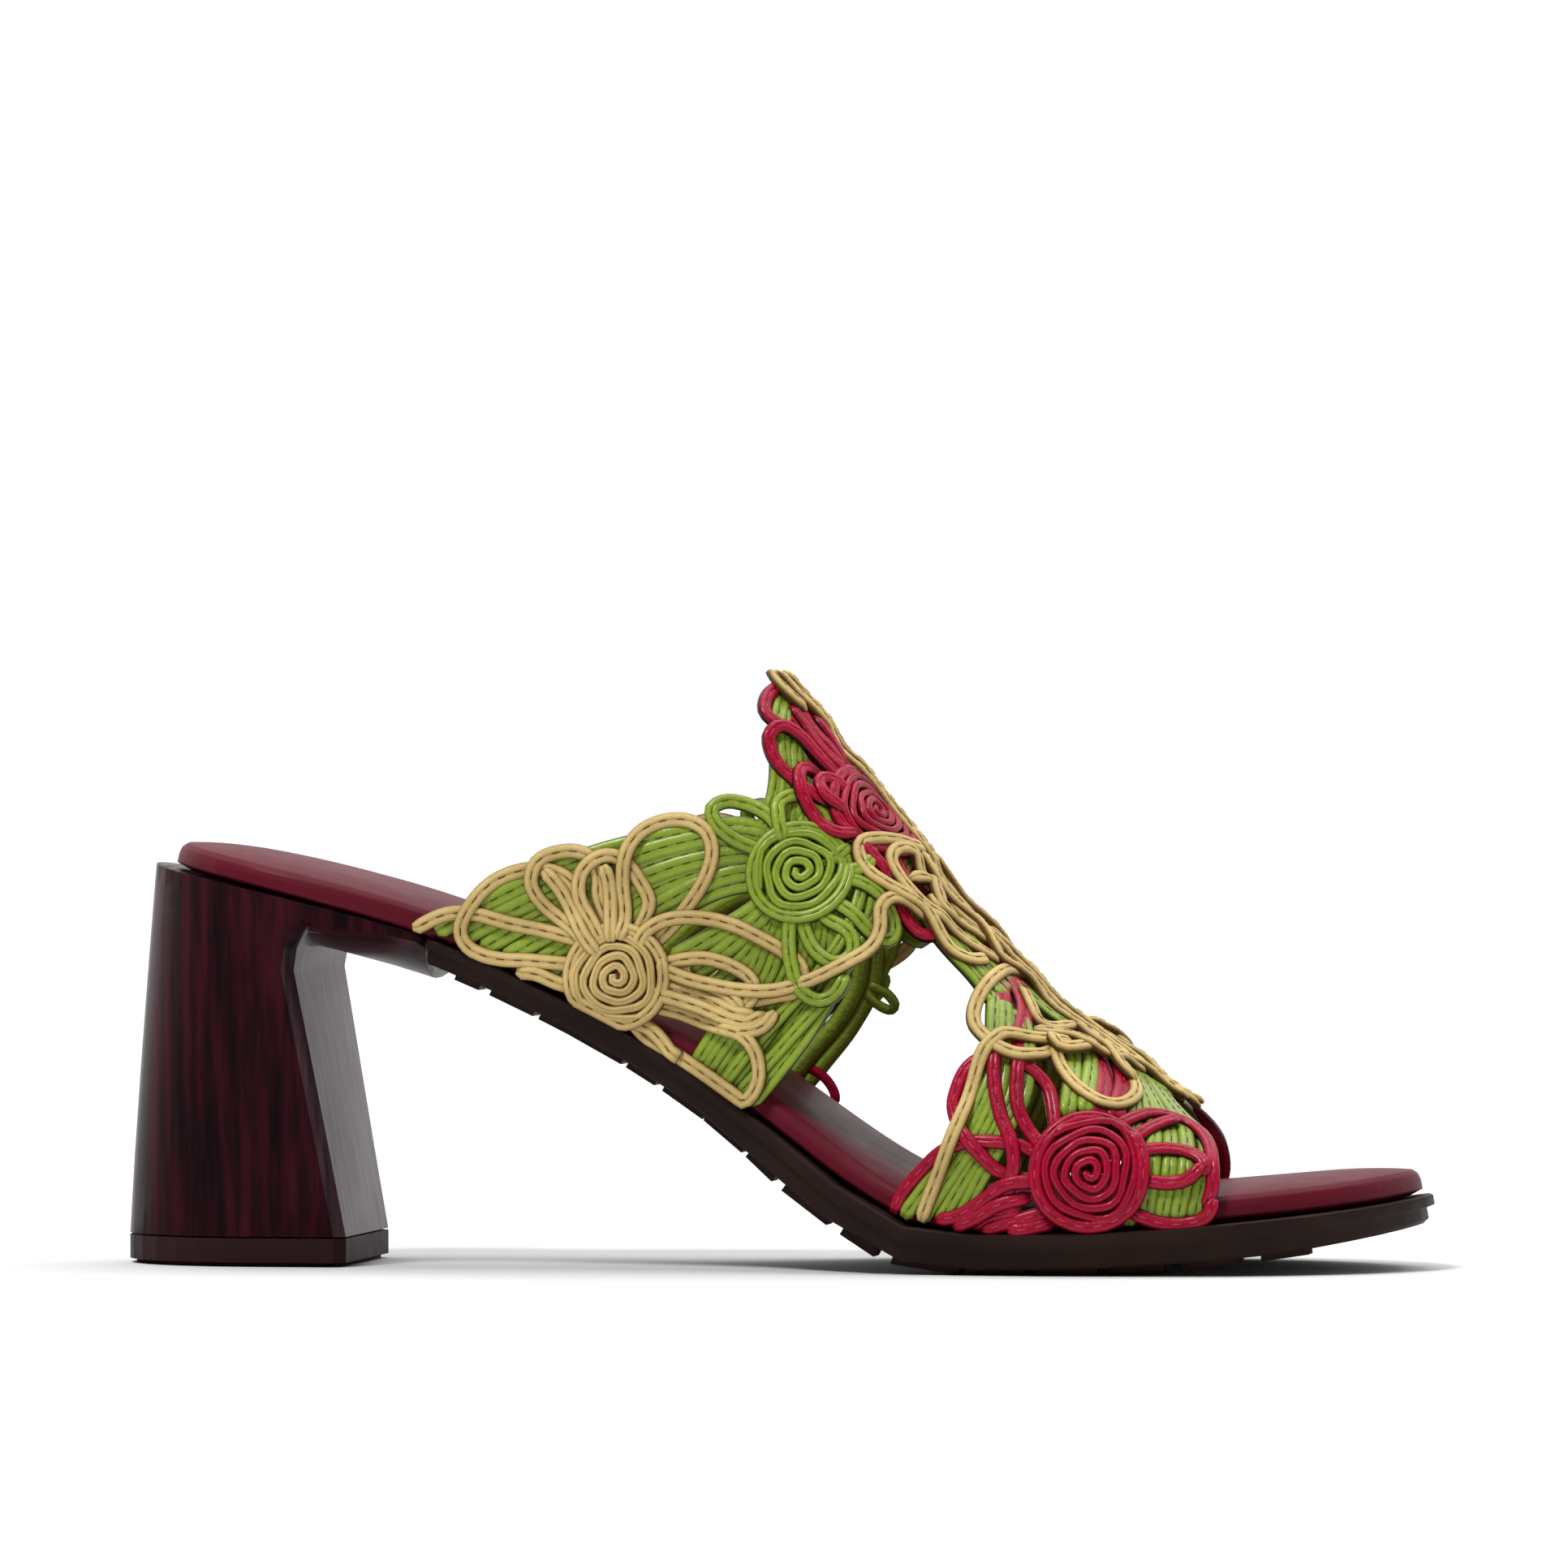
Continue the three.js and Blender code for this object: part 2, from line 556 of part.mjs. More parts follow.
// Petals: loops of cord round a rosette. turn: degrees from forwards towards the ridge. root, tip: reach
// from the rosette's centre, mm. width: across the middle of the cord, mm. bow: sideways bend of the tip.
const PETALS = [
  { of: 'cream', turn: 178, root: 8, tip: 29.5, width: 14.0, bow: 5 },
  { of: 'cream', turn: 147, root: 8, tip: 25.0, width: 11.0, bow: 0 },
  { of: 'cream', turn: 118, root: 8, tip: 22.5, width: 12.0, bow: 0 },
  { of: 'cream', turn: 95, root: 8, tip: 30.5, width: 13.5, bow: 0 },
  { of: 'cream', turn: 40, root: 8, tip: 32.5, width: 13.0, bow: -3 },
  { of: 'cream', turn: 8, root: 8, tip: 26.0, width: 5.0, bow: 3 },
  { of: 'cream', turn: -6, root: 16, tip: 30.0, width: 9.0, bow: 0 },
  { of: 'green', turn: 180, root: 8, tip: 19.7, width: 6.5, bow: 0 },
  { of: 'green', turn: 130, root: 7, tip: 14.3, width: 8.0, bow: 0 },
  { of: 'green', turn: -20, root: 8, tip: 18.0, width: 6.5, bow: 0 },
  { of: 'pink', turn: 178, root: 7, tip: 33.0, width: 7.0, bow: -1 },
  { of: 'pink', turn: 196, root: 8, tip: 29.0, width: 5.5, bow: -1 },
  { of: 'pink', turn: 212, root: 8, tip: 20.0, width: 6.5, bow: 0 },
  { of: 'toe', turn: 38, root: 9, tip: 20.5, width: 12.0, bow: -2 },
  { of: 'toe', turn: 5, root: 9, tip: 20.5, width: 6.0, bow: 0 },
  { of: 'toe', turn: -20, root: 9, tip: 21.0, width: 8.0, bow: 0 },
  { of: 'toe', turn: 128, root: 9, tip: 23.0, width: 6.0, bow: 0 },
  { of: 'toe', turn: 170, root: 9, tip: 22.0, width: 6.0, bow: 0 },
];

// Cords laid on their own: [length share, girth share] from end to end
const CORDS = [
  { name: 'left stem', route: [[0.228, 0.97], [0.252, 0.93], [0.285, 0.93], [0.325, 0.90]] },
  { name: 'long stem', route: [[0.385, 0.83], [0.425, 0.80], [0.466, 0.71], [0.504, 0.53], [0.508, 0.42],
    [0.506, 0.33], [0.520, 0.28]] },
  { name: 'front border', route: [[0.470, 0.30], [0.486, 0.40], [0.488, 0.55], [0.485, 0.75], [0.472, 0.98]] },
  { name: 'first knot', route: [[0.496, 0.06], [0.480, 0.17], [0.466, 0.26], [0.480, 0.31], [0.515, 0.28]] },
  { name: 'second knot', route: [[0.520, 0.12], [0.495, 0.14], [0.490, 0.23], [0.515, 0.27], [0.550, 0.24],
    [0.575, 0.17], [0.60, 0.12]] },
  { name: 'big knot', route: [[0.630, 0.06], [0.608, 0.22], [0.607, 0.40], [0.640, 0.49], [0.675, 0.46],
    [0.696, 0.36]] },
  { name: 'toe stem', route: [[0.690, 0.38], [0.650, 0.43], [0.628, 0.53], [0.630, 0.70], [0.622, 0.985]] },
  { name: 'toe knot', route: [[0.682, 0.40], [0.700, 0.50], [0.738, 0.575], [0.762, 0.48], [0.745, 0.28]] },
  { name: 'rear edge', route: [[0.600, 0.99], [0.608, 0.88], [0.634, 0.75], [0.618, 0.64], [0.632, 0.50]] },
  { name: 'side band', route: [[0.645, 0.60], [0.682, 0.74], [0.684, 0.88], [0.708, 0.985]] },
];

// Ribs of the bands under the flowers, as ends on the sole side and on the ridge side
const RIBS = [
  { from: [0.285, 0.97], to: [0.394, 0.57] }, { from: [0.640, 0.98], to: [0.668, 0.52] },
  { from: [0.812, 0.97], to: [0.796, 0.55] },
];

// Strands along the ridge, as girth shares
const SPINE_STRANDS = [
  { girth: 0.035, from: 0.352, to: 0.806 },
];

// The ground that carries the cords. Side parts: rear and front edges at a girth share.
const INSTEP_GROUND = [
  { girth: 0.995, rear: 0.232, front: 0.476 }, { girth: 0.90, rear: 0.258, front: 0.489 },
  { girth: 0.80, rear: 0.283, front: 0.500 }, { girth: 0.70, rear: 0.309, front: 0.506 },
  { girth: 0.60, rear: 0.337, front: 0.510 }, { girth: 0.50, rear: 0.366, front: 0.512 },
  { girth: 0.40, rear: 0.389, front: 0.515 }, { girth: 0.30, rear: 0.404, front: 0.530 },
  { girth: 0.20, rear: 0.400, front: 0.540 },
];
const TOE_GROUND = [
  { girth: 0.995, rear: 0.606, front: 0.836 }, { girth: 0.90, rear: 0.612, front: 0.838 },
  { girth: 0.80, rear: 0.628, front: 0.838 }, { girth: 0.70, rear: 0.634, front: 0.834 },
  { girth: 0.60, rear: 0.626, front: 0.826 }, { girth: 0.50, rear: 0.628, front: 0.815 },
  { girth: 0.40, rear: 0.616, front: 0.796 }, { girth: 0.30, rear: 0.612, front: 0.790 },
  { girth: 0.20, rear: 0.620, front: 0.790 },
];
// Middle part: how far the ground reaches down each side of the ridge
const SPINE_GROUND = [
  { at: 0.352, girth: 0.15 }, { at: 0.370, girth: 0.22 }, { at: 0.400, girth: 0.27 },
  { at: 0.440, girth: 0.30 }, { at: 0.500, girth: 0.30 }, { at: 0.535, girth: 0.30 },
  { at: 0.565, girth: 0.27 }, { at: 0.600, girth: 0.25 }, { at: 0.640, girth: 0.30 },
  { at: 0.700, girth: 0.32 }, { at: 0.760, girth: 0.30 }, { at: 0.790, girth: 0.20 },
  { at: 0.806, girth: 0.06 },
];

// Gaps through the ground. at, girth: centre. length, width: mm. turn: degrees as for the petals.
const GAPS = [
  { at: 0.262, girth: 0.900, length: 7, width: 2.0, turn: 55 },
  { at: 0.302, girth: 0.930, length: 8, width: 3.0, turn: 25 },
  { at: 0.288, girth: 0.760, length: 5, width: 2.0, turn: 60 },
  { at: 0.320, girth: 0.780, length: 6, width: 2.2, turn: 70 },
  { at: 0.350, girth: 0.720, length: 4, width: 2.4, turn: 90 },
  { at: 0.364, girth: 0.655, length: 9, width: 2.2, turn: 50 },
  { at: 0.380, girth: 0.440, length: 5, width: 2.6, turn: 0 },
  { at: 0.408, girth: 0.660, length: 5, width: 2.0, turn: 55 },
  { at: 0.430, girth: 0.620, length: 5, width: 2.2, turn: 50 },
  { at: 0.448, girth: 0.650, length: 7, width: 3.0, turn: 55 },
  { at: 0.414, girth: 0.745, length: 5, width: 2.0, turn: 25 },
  { at: 0.432, girth: 0.930, length: 6, width: 4.0, turn: 60 },
  { at: 0.622, girth: 0.365, length: 8, width: 2.4, turn: 90 },
  { at: 0.664, girth: 0.545, length: 6, width: 3.4, turn: 100 },
  { at: 0.692, girth: 0.610, length: 7, width: 3.4, turn: 115 },
  { at: 0.696, girth: 0.500, length: 6, width: 3.2, turn: 90 },
  { at: 0.668, girth: 0.790, length: 5, width: 3.0, turn: 0 },
  { at: 0.664, girth: 0.880, length: 7, width: 4.0, turn: 20 },
  { at: 0.738, girth: 0.480, length: 6, width: 2.6, turn: 90 },
  { at: 0.655, girth: 0.660, length: 5, width: 2.2, turn: 110 },
];

// Petal outline round its rosette, wider towards the tip, grown or shrunk by half a cord
function petalRoute({ of, turn, root, tip, width, bow }, grow, side) {
  const { at, girth } = ROSETTES[of];
  const count = width > 9 ? 8 : 6;
  const heading = THREE.MathUtils.degToRad(turn);
  const route = [];
  for (let i = 0; i < count; i += 1) {
    const phase = (i / count) * 2 * Math.PI;
    const share = (1 - Math.cos(phase)) / 2;
    const out = root - grow + (tip - CORD_WIDTH / 2 - root + 2 * grow) * share;
    const half = width / 2 + grow;
    const across = half * Math.sin(phase) * (1 - 0.3 * Math.cos(phase)) + bow * share * share;
    const forward = out * Math.cos(heading) - across * Math.sin(heading);
    const up = out * Math.sin(heading) + across * Math.cos(heading);
    route.push(move([at, girth], forward, up, side));
  }
  return route;
}

function petal(row, side) {
  const half = CORD_WIDTH / 2;
  const open = row.width > 2 * CORD_WIDTH - 1.2;
  return loop(petalRoute(row, half, side), open && petalRoute(row, -half, side), side, CORD_TOP);
}

function circleRoute(centre, radius, side, count) {
  const route = [];
  for (let i = 0; i < count; i += 1) {
    const turn = (i / count) * 2 * Math.PI;
    route.push(move(centre, radius * Math.cos(turn), radius * Math.sin(turn), side));
  }
  return route;
}

// A coiled rosette: a disc with a raised ring
function rosette({ at, girth, radius }, side) {
  const centre = [at, girth];
  const outline = circleRoute(centre, radius, side, 11).map((p) => onMap(p, side));
  const rims = [0.72, 0.36].map((share) => circleRoute(centre, radius * share, side, 8));
  return [plate(outline, [], 0, CORD_TOP), loop(...rims, side, ROSETTE_TOP)];
}

function gapCutter({ at, girth, length, width, turn }, side) {
  const heading = THREE.MathUtils.degToRad(turn);
  const outline = [];
  const count = 6;
  for (let i = 0; i < count; i += 1) {
    const phase = (i / count) * 2 * Math.PI;
    const out = (length / 2) * Math.cos(phase);
    const across = (width / 2) * Math.sin(phase);
    const forward = out * Math.cos(heading) - across * Math.sin(heading);
    const up = out * Math.sin(heading) + across * Math.cos(heading);
    outline.push(onMap(move([at, girth], forward, up, side), side));
  }
  return plate(outline, [], -1, GROUND_THICKNESS + 1);
}

function groundPlates() {
  const sides = [-1, 1].flatMap((side) => [INSTEP_GROUND, TOE_GROUND].map((rows) => {
    const rear = rows.map((row) => onMap([row.rear, row.girth], side));
    const front = rows.map((row) => onMap([row.front, row.girth], side));
    return plate([...rear, ...front.reverse()], [], 0, GROUND_THICKNESS);
  }));
  const near = SPINE_GROUND.map((row) => onMap([row.at, row.girth], -1));
  const far = SPINE_GROUND.map((row) => onMap([row.at, row.girth], 1));
  return joinAll([...sides, plate([...near, ...far.reverse()], [], 0, GROUND_THICKNESS)]);
}

// What lies below the upper's lower edge on the map
function edgeTrim(girth) {
  return [-1, 1].map((side) => {
    const outline = [[0.1, girth], [0.95, girth], [0.95, 1.6], [0.1, 1.6]].map((p) => onMap(p, side));
    return plate(outline, [], -1, ROSETTE_TOP + 1);
  });
}

function makeUpperMap() {
  const sides = [-1, 1];
  const cutters = sides.flatMap((side) => GAPS.map((gap) => gapCutter(gap, side)));
  const ground = groundPlates().subtract(joinAll(cutters));
  const raised = sides.flatMap((side) => [
    ...PETALS.map((row) => petal(row, side)),
    ...Object.values(ROSETTES).flatMap((row) => rosette(row, side)),
    ...CORDS.map(({ route }) => cord(route, side, CORD_WIDTH, route.length + 1, CORD_TOP)),
    ...RIBS.map(({ from, to }) => cord([from, to], side, CORD_WIDTH, 2, RIB_TOP)),
    ...SPINE_STRANDS.map(({ girth, from, to }) => {
      return cord([[from, girth], [to, girth]], side, CORD_WIDTH, 10, CORD_TOP);
    }),
  ]);
  const whole = joinAll([ground, ...raised]);
  return whole.subtract(joinAll(edgeTrim(LOWER_EDGE)));
}

// Splits every edge longer than the limit at its middle, in both triangles that share it
function refine(geometry, limit, length) {
  let points = [];
  const source = geometry.getAttribute('position');
  for (let i = 0; i < source.count; i += 1) points.push(new THREE.Vector3().fromBufferAttribute(source, i));
  let faces = [];
  for (let i = 0; i < geometry.index.count; i += 3) faces.push([0, 1, 2].map((k) => geometry.index.getX(i + k)));
  for (let round = 0; round < 6; round += 1) {
    const middles = new Map();
    const middle = (a, b) => {
      const key = a < b ? `${a}_${b}` : `${b}_${a}`;
      if (!middles.has(key)) {
        const long = length(points[a], points[b]) > limit;
        if (long) points.push(points[a].clone().lerp(points[b], 0.5));
        middles.set(key, long ? points.length - 1 : -1);
      }
      return middles.get(key);
    };
    const next = [];
    for (const [a, b, c] of faces) {
      const cuts = [middle(a, b), middle(b, c), middle(c, a)];
      next.push(...splitFace([a, b, c], cuts, (p, q) => length(points[p], points[q])));
    }
    if (next.length === faces.length) break;
    faces = next;
  }
  return { points, faces };
}

function splitFace(corners, cuts, length) {
  const cut = cuts.filter((m) => m >= 0).length;
  if (cut === 0) return [corners];
  const turn = (list, k) => [...list.slice(k), ...list.slice(0, k)];
  if (cut === 1) {
    const k = cuts.findIndex((m) => m >= 0);
    const [a, b, c] = turn(corners, k);
    return [[a, cuts[k], c], [cuts[k], b, c]];
  }
  if (cut === 2) {
    const k = cuts.findIndex((m) => m < 0);
    const [a, b, c] = turn(corners, k);
    const [, m, n] = turn(cuts, k);
    const tip = [m, c, n];
    if (length(a, m) < length(b, n)) return [tip, [a, b, m], [a, m, n]];
    return [tip, [a, b, n], [b, m, n]];
  }
  const [a, b, c] = corners;
  const [m, n, o] = cuts;
  return [[a, m, o], [m, b, n], [o, n, c], [m, n, o]];
}

const NORMAL_STEP = 0.006;

// From the flat map to the last
function warp(p) {
  const side = p.y < 0 ? -1 : 1;
  const at = p.x / FOOTBED_LENGTH;
  const girth = Math.abs(p.y) / MAP_GIRTH;
  const place = skin(at, girth, side);
  const along = skin(at + NORMAL_STEP, girth, side).sub(skin(at - NORMAL_STEP, girth, side));
  const down = skin(at, girth + NORMAL_STEP, side).sub(skin(at, girth - NORMAL_STEP, side));
  const out = along.cross(down).multiplyScalar(side).normalize();
  return place.addScaledVector(out, p.z);
}

const UPPER_EDGE = 16;

function makeUpper() {
  const flat = toGeometry(makeUpperMap());
  const stretch = (a, b) => Math.hypot(a.x - b.x, a.y - b.y, a.z - b.z);
  const { points, faces } = refine(flat, UPPER_EDGE, stretch);
  const geometry = new THREE.BufferGeometry();
  const positions = points.map(warp).flatMap((p) => [p.x, p.y, p.z]);
  geometry.setAttribute('position', new THREE.BufferAttribute(new Float32Array(positions), 3));
  geometry.setIndex(faces.flat());
  return geometry;
}

// Assembly

function piece(name, geometry, color, roughness) {
  const material = new THREE.MeshStandardMaterial({ color, roughness, metalness: 0 });
  const mesh = new THREE.Mesh(geometry, material);
  mesh.name = name;
  return mesh;
}

const sandal = new THREE.Group();
sandal.add(
  piece('footbed', toGeometry(makeFootbed()), 0x5f1228, 0.45),
  piece('outsole', toGeometry(makeOutsole()), 0x2d1c19, 0.6),
  piece('heel_block', toGeometry(makeHeelBlock()), 0x460519, 0.3),
  piece('heel_lift', toGeometry(makeHeelLift()), 0x321919, 0.5),
  piece('upper', makeUpper(), 0xc8ac70, 0.6),
);

// The origin lies under the middle of the whole shoe, on the floor
const bounds = new THREE.Box3().setFromObject(sandal);
sandal.position.set(-(bounds.min.x + bounds.max.x) / 2, -(bounds.min.y + bounds.max.y) / 2, 0);

export default sandal;
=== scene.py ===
import math
import bpy
import numpy as np
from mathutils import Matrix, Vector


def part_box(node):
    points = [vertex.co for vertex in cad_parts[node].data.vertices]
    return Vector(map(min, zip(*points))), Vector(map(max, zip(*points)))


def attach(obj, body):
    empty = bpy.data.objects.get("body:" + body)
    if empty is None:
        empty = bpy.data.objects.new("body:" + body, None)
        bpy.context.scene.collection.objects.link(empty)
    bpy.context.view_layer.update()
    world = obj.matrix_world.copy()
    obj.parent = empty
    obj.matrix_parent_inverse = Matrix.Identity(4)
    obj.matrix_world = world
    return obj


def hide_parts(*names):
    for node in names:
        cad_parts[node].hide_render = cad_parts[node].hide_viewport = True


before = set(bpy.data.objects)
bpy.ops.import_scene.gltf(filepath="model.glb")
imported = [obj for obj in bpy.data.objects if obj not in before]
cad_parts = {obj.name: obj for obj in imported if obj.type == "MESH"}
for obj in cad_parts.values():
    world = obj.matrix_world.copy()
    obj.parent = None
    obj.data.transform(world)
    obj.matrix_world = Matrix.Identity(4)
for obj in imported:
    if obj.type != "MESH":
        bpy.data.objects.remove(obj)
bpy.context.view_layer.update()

# Looks of a right-foot block heel slide sandal whose upper is laid from stitched leather cord. Shapes are
# worked out in millimetres from the heel end of the footbed, with the toe forward on X, the outer side on
# -Y and the floor at zero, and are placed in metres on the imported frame.

# The heel's top piece reaches this far behind the footbed's heel end
LIFT_OVERHANG = 8.5
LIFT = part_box("heel_lift")
HEEL_END = LIFT[0][0] * 1000 + LIFT_OVERHANG
MIDDLE = (LIFT[0][1] + LIFT[1][1]) * 500
SHIFT = np.array([HEEL_END, MIDDLE, 0.0])

# The last, as in the part's source, in millimetres unless it is a share
FOOTBED_LENGTH = 230.0
HEEL_SEAT = 72.7
BALL_SEAT = 7.4
TOE_SPRING = 6.1
BALL_WIDTH = 77.0
INSTEP_HEIGHT = 52.0
FIT_GAP = 0.3
LIP_HEIGHT = 5.5
ARCH_SQUARENESS = 2.6
# Shares of the length over which the width rounds off at the heel and at the toe
HEEL_CAP = 0.117
TOE_CAP = 0.148
# The inner side's front edge lies this far behind the outer side's. The set-back grows from one length
# share to another, and from the ridge down to a girth share
TOE_SET_BACK = 10.0
SET_BACK_START = 0.62
SET_BACK_END = 0.80
SET_BACK_GIRTH = 0.5
# Pieces of the arch across the upper, along which the girth is measured, and steps of a walk on it
ARC_PIECES = 32
WALK_STEPS = 4

# Sections of the last: share of the length, share of the heel drop, share of the toe spring, half
# widths as shares of the ball width (lateral, medial), lean in degrees, crest as a share of the instep
SECTIONS = np.array([
    (0.000, 1.000, 0.000, 0.350, 0.350, 16.0, 1.75), (0.120, 0.905, 0.000, 0.357, 0.357, 21.0, 1.75),
    (0.223, 0.805, 0.000, 0.344, 0.325, 24.6, 1.62), (0.339, 0.623, 0.000, 0.325, 0.292, 26.4, 1.32),
    (0.405, 0.502, 0.000, 0.331, 0.292, 26.9, 1.17), (0.471, 0.358, 0.000, 0.357, 0.318, 25.4, 1.05),
    (0.537, 0.172, 0.000, 0.403, 0.370, 22.0, 0.99), (0.576, 0.083, 0.000, 0.435, 0.409, 19.5, 0.955),
    (0.609, 0.021, 0.000, 0.461, 0.442, 17.0, 0.91), (0.667, 0.000, 0.000, 0.487, 0.487, 14.7, 0.765),
    (0.731, 0.000, 0.020, 0.494, 0.506, 11.3, 0.60), (0.795, 0.000, 0.130, 0.474, 0.500, 7.4, 0.425),
    (0.844, 0.000, 0.280, 0.458, 0.492, 5.0, 0.33), (0.917, 0.000, 0.557, 0.428, 0.466, 2.0, 0.24),
    (0.976, 0.000, 0.836, 0.400, 0.440, 0.0, 0.16), (1.000, 0.000, 1.000, 0.380, 0.420, 0.0, 0.12)])


def column(index):
    """A smooth curve without overshoot through one column of the sections."""
    x, y = SECTIONS[:, 0], SECTIONS[:, index]
    step = np.diff(x)
    slope = np.diff(y) / step
    tangent = np.zeros_like(y)
    tangent[0], tangent[-1] = slope[0], slope[-1]
    for i in range(1, len(x) - 1):
        if slope[i - 1] * slope[i] > 0:
            a, b = 2 * step[i] + step[i - 1], step[i] + 2 * step[i - 1]
            tangent[i] = (a + b) / (a / slope[i - 1] + b / slope[i])

    def curve(t):
        i = np.clip(np.searchsorted(x, t) - 1, 0, len(step) - 1)
        u = (t - x[i]) / step[i]
        rise = u * u * (3 - 2 * u)
        swing = step[i] * u * (1 - u)
        return y[i] * (1 - rise) + y[i + 1] * rise + swing * ((1 - u) * tangent[i] - u * tangent[i + 1])
    return curve


fall, spring, lateral, medial, lean, crest = (column(k) for k in range(1, 7))


def smoothstep(x, low, high):
    """From 0 at low to 1 at high, level at both ends."""
    x = np.clip((x - low) / (high - low), 0, 1)
    return x * x * (3 - 2 * x)


def skin(at, girth, side):
    """Inner face of the upper: length share, girth share (ridge 0, sole edge 1), side -1 or 1."""
    if side > 0:
        back = TOE_SET_BACK / FOOTBED_LENGTH * smoothstep(at, SET_BACK_START, SET_BACK_END)
        at = at - back * smoothstep(np.abs(girth), 0, SET_BACK_GIRTH)
    half = (lateral if side < 0 else medial)(at) * BALL_WIDTH
    heel = np.clip(at / HEEL_CAP, 0, 1)
    toe = np.clip((1 - at) / TOE_CAP, 0, 1)
    half = half * np.sqrt(1 - (1 - heel) ** 2) * np.sqrt(1 - (1 - toe) ** 2) + FIT_GAP
    height = INSTEP_HEIGHT * crest(at)
    turn = np.linspace(0, math.pi / 2, ARC_PIECES + 1)
    power = 2 / ARCH_SQUARENESS
    arc_y = half[:, None] * np.sin(turn) ** power
    arc_z = LIP_HEIGHT + (height[:, None] - LIP_HEIGHT) * np.clip(np.cos(turn), 0, 1) ** power
    piece = np.hypot(np.diff(arc_y, axis=1), np.diff(arc_z, axis=1))
    run = np.concatenate([np.zeros((len(at), 1)), np.cumsum(piece, axis=1)], axis=1)
    total = run[:, -1] + LIP_HEIGHT - FIT_GAP
    reach = np.abs(girth) * total
    row = np.arange(len(at))
    i = np.clip((run <= reach[:, None]).sum(1) - 1, 0, ARC_PIECES - 1)
    share = np.clip((reach - run[row, i]) / piece[row, i], 0, 1)
    y = arc_y[row, i] * (1 - share) + arc_y[row, i + 1] * share
    rise = arc_z[row, i] * (1 - share) + arc_z[row, i + 1] * share
    low = reach >= run[:, -1]
    y = np.where(low, half, y)
    rise = np.where(low, FIT_GAP + total - reach, rise)
    tilt = np.radians(lean(at))
    seat = BALL_SEAT + (HEEL_SEAT - BALL_SEAT) * fall(at) + TOE_SPRING * spring(at)
    across = side * np.where(girth < 0, -1.0, 1.0) * y
    return np.stack([FOOTBED_LENGTH * at + rise * np.sin(tilt), across, seat + rise * np.cos(tilt)], -1)


def slopes(at, girth, side, step=0.004):
    """How the skin runs for each unit of length share and of girth share."""
    along = (skin(at + step, girth, side) - skin(at - step, girth, side)) / (2 * step)
    down = (skin(at, girth + step, side) - skin(at, girth - step, side)) / (2 * step)
    return along, down


def outward(at, girth, side):
    """Directions that leave the skin."""
    along, down = slopes(at, girth, side, 0.008)
    out = np.cross(along, down) * side
    return out / np.linalg.norm(out, axis=1)[:, None]


def walk(centre, local, side):
    """Points of the skin, from millimetres forward and towards the ridge round a centre.

    It goes there in a few steps and reads the skin's slopes afresh at each.
    """
    local = np.asarray(local, float)
    at = np.full(len(local), centre[0])
    girth = np.full(len(local), centre[1])
    for _ in range(WALK_STEPS):
        along, down = slopes(at, girth, side)
        a = (along * along).sum(1)
        b = (along * down).sum(1)
        c = (down * down).sum(1)
        square = down - along * (b / a)[:, None]
        square /= np.linalg.norm(square, axis=1)[:, None]
        first = local[:, 0] / WALK_STEPS * np.sqrt(a)
        up = square * (-local[:, 1] / WALK_STEPS)[:, None]
        second = local[:, 0] / WALK_STEPS * b / np.sqrt(a) + (up * down).sum(1)
        area = a * c - b * b
        at = at + (first * c - second * b) / area
        girth = girth + (second * a - first * b) / area
    return np.stack([at, girth], -1)


# Points of a smooth line for each one that it is drawn through
LINE_POINTS = 10


def smooth_line(points):
    """A smooth line through a few points."""
    p = np.asarray(points, float)
    p = np.vstack([2 * p[0] - p[1], p, 2 * p[-1] - p[-2]])
    t = np.linspace(0, 1, LINE_POINTS, endpoint=False)[:, None]
    out = []
    for a, b, c, d in zip(p[:-3], p[1:-2], p[2:-1], p[3:]):
        out.append(0.5 * (2 * b + (c - a) * t + (2 * a - 5 * b + 4 * c - d) * t ** 2
                          + (3 * b - a - 3 * c + d) * t ** 3))
    out.append(p[-2][None])
    return np.vstack(out)


# Cross sections of the cords: place across (-1 to 1) and height (0 to 1). Piping has a stitched groove.
# Sizes are in millimetres: widths and thicknesses, the loops' height over the skin and their step
PIPING = [(-1, 0.0), (-1, 0.5), (-0.84, 0.86), (-0.45, 1.0), (-0.08, 0.98), (0.0, 0.92),
          (0.08, 0.98), (0.5, 0.96), (0.86, 0.78), (1, 0.42), (1, 0.0)]
ON_EDGE = [(-1, 0.0), (-0.98, 0.72), (-0.6, 0.95), (0, 1.0), (0.6, 0.95), (0.98, 0.72), (1, 0.0)]
PETAL_WIDTH = 2.75
STEM_WIDTH = 2.7
STRAND_WIDTH = 2.6
LOOP_WIDTH = 1.8
LOOP_LEVEL = 0.2
LOOP_STEP = 0.6
CORD_THICK = 1.35
STRAND_THICK = 1.2
# Cords sink this share of their thickness into what they cross, and climb no higher than the limit
SINK = 0.3
CLIMB_LIMIT = 2.6
# Sections to either side over which a climb is smoothed
CLIMB_REACH = 4
# Cords nearer to each other than this share of their widths cross
CROSSING = 0.62
# A cord's last millimetres round off to this share of its section
END_LENGTH = 1.6
END_SHARE = 0.55
# Girth share at which a cord ends on the sole's lip
LOWEST = 0.992
# Distance between a cord's sections, and side of the cells in which crossings are looked up
SECTION_STEP = 1.1
CELL = 3.0

# Stitches: distance from one to the next, length, and distance from the cord's ends
STITCH_PITCH = 3.2
STITCH_LENGTH = 1.9
FIRST_STITCH = 1.6
LAST_STITCH = 1.0
# Form of a stitch: share of its length, share of the cord's thickness, half thickness there
STITCH_FORM = np.array([(0.0, 0.8, 0.04), (0.16, 0.95, 0.15), (0.84, 0.95, 0.15), (1.0, 0.8, 0.04)])

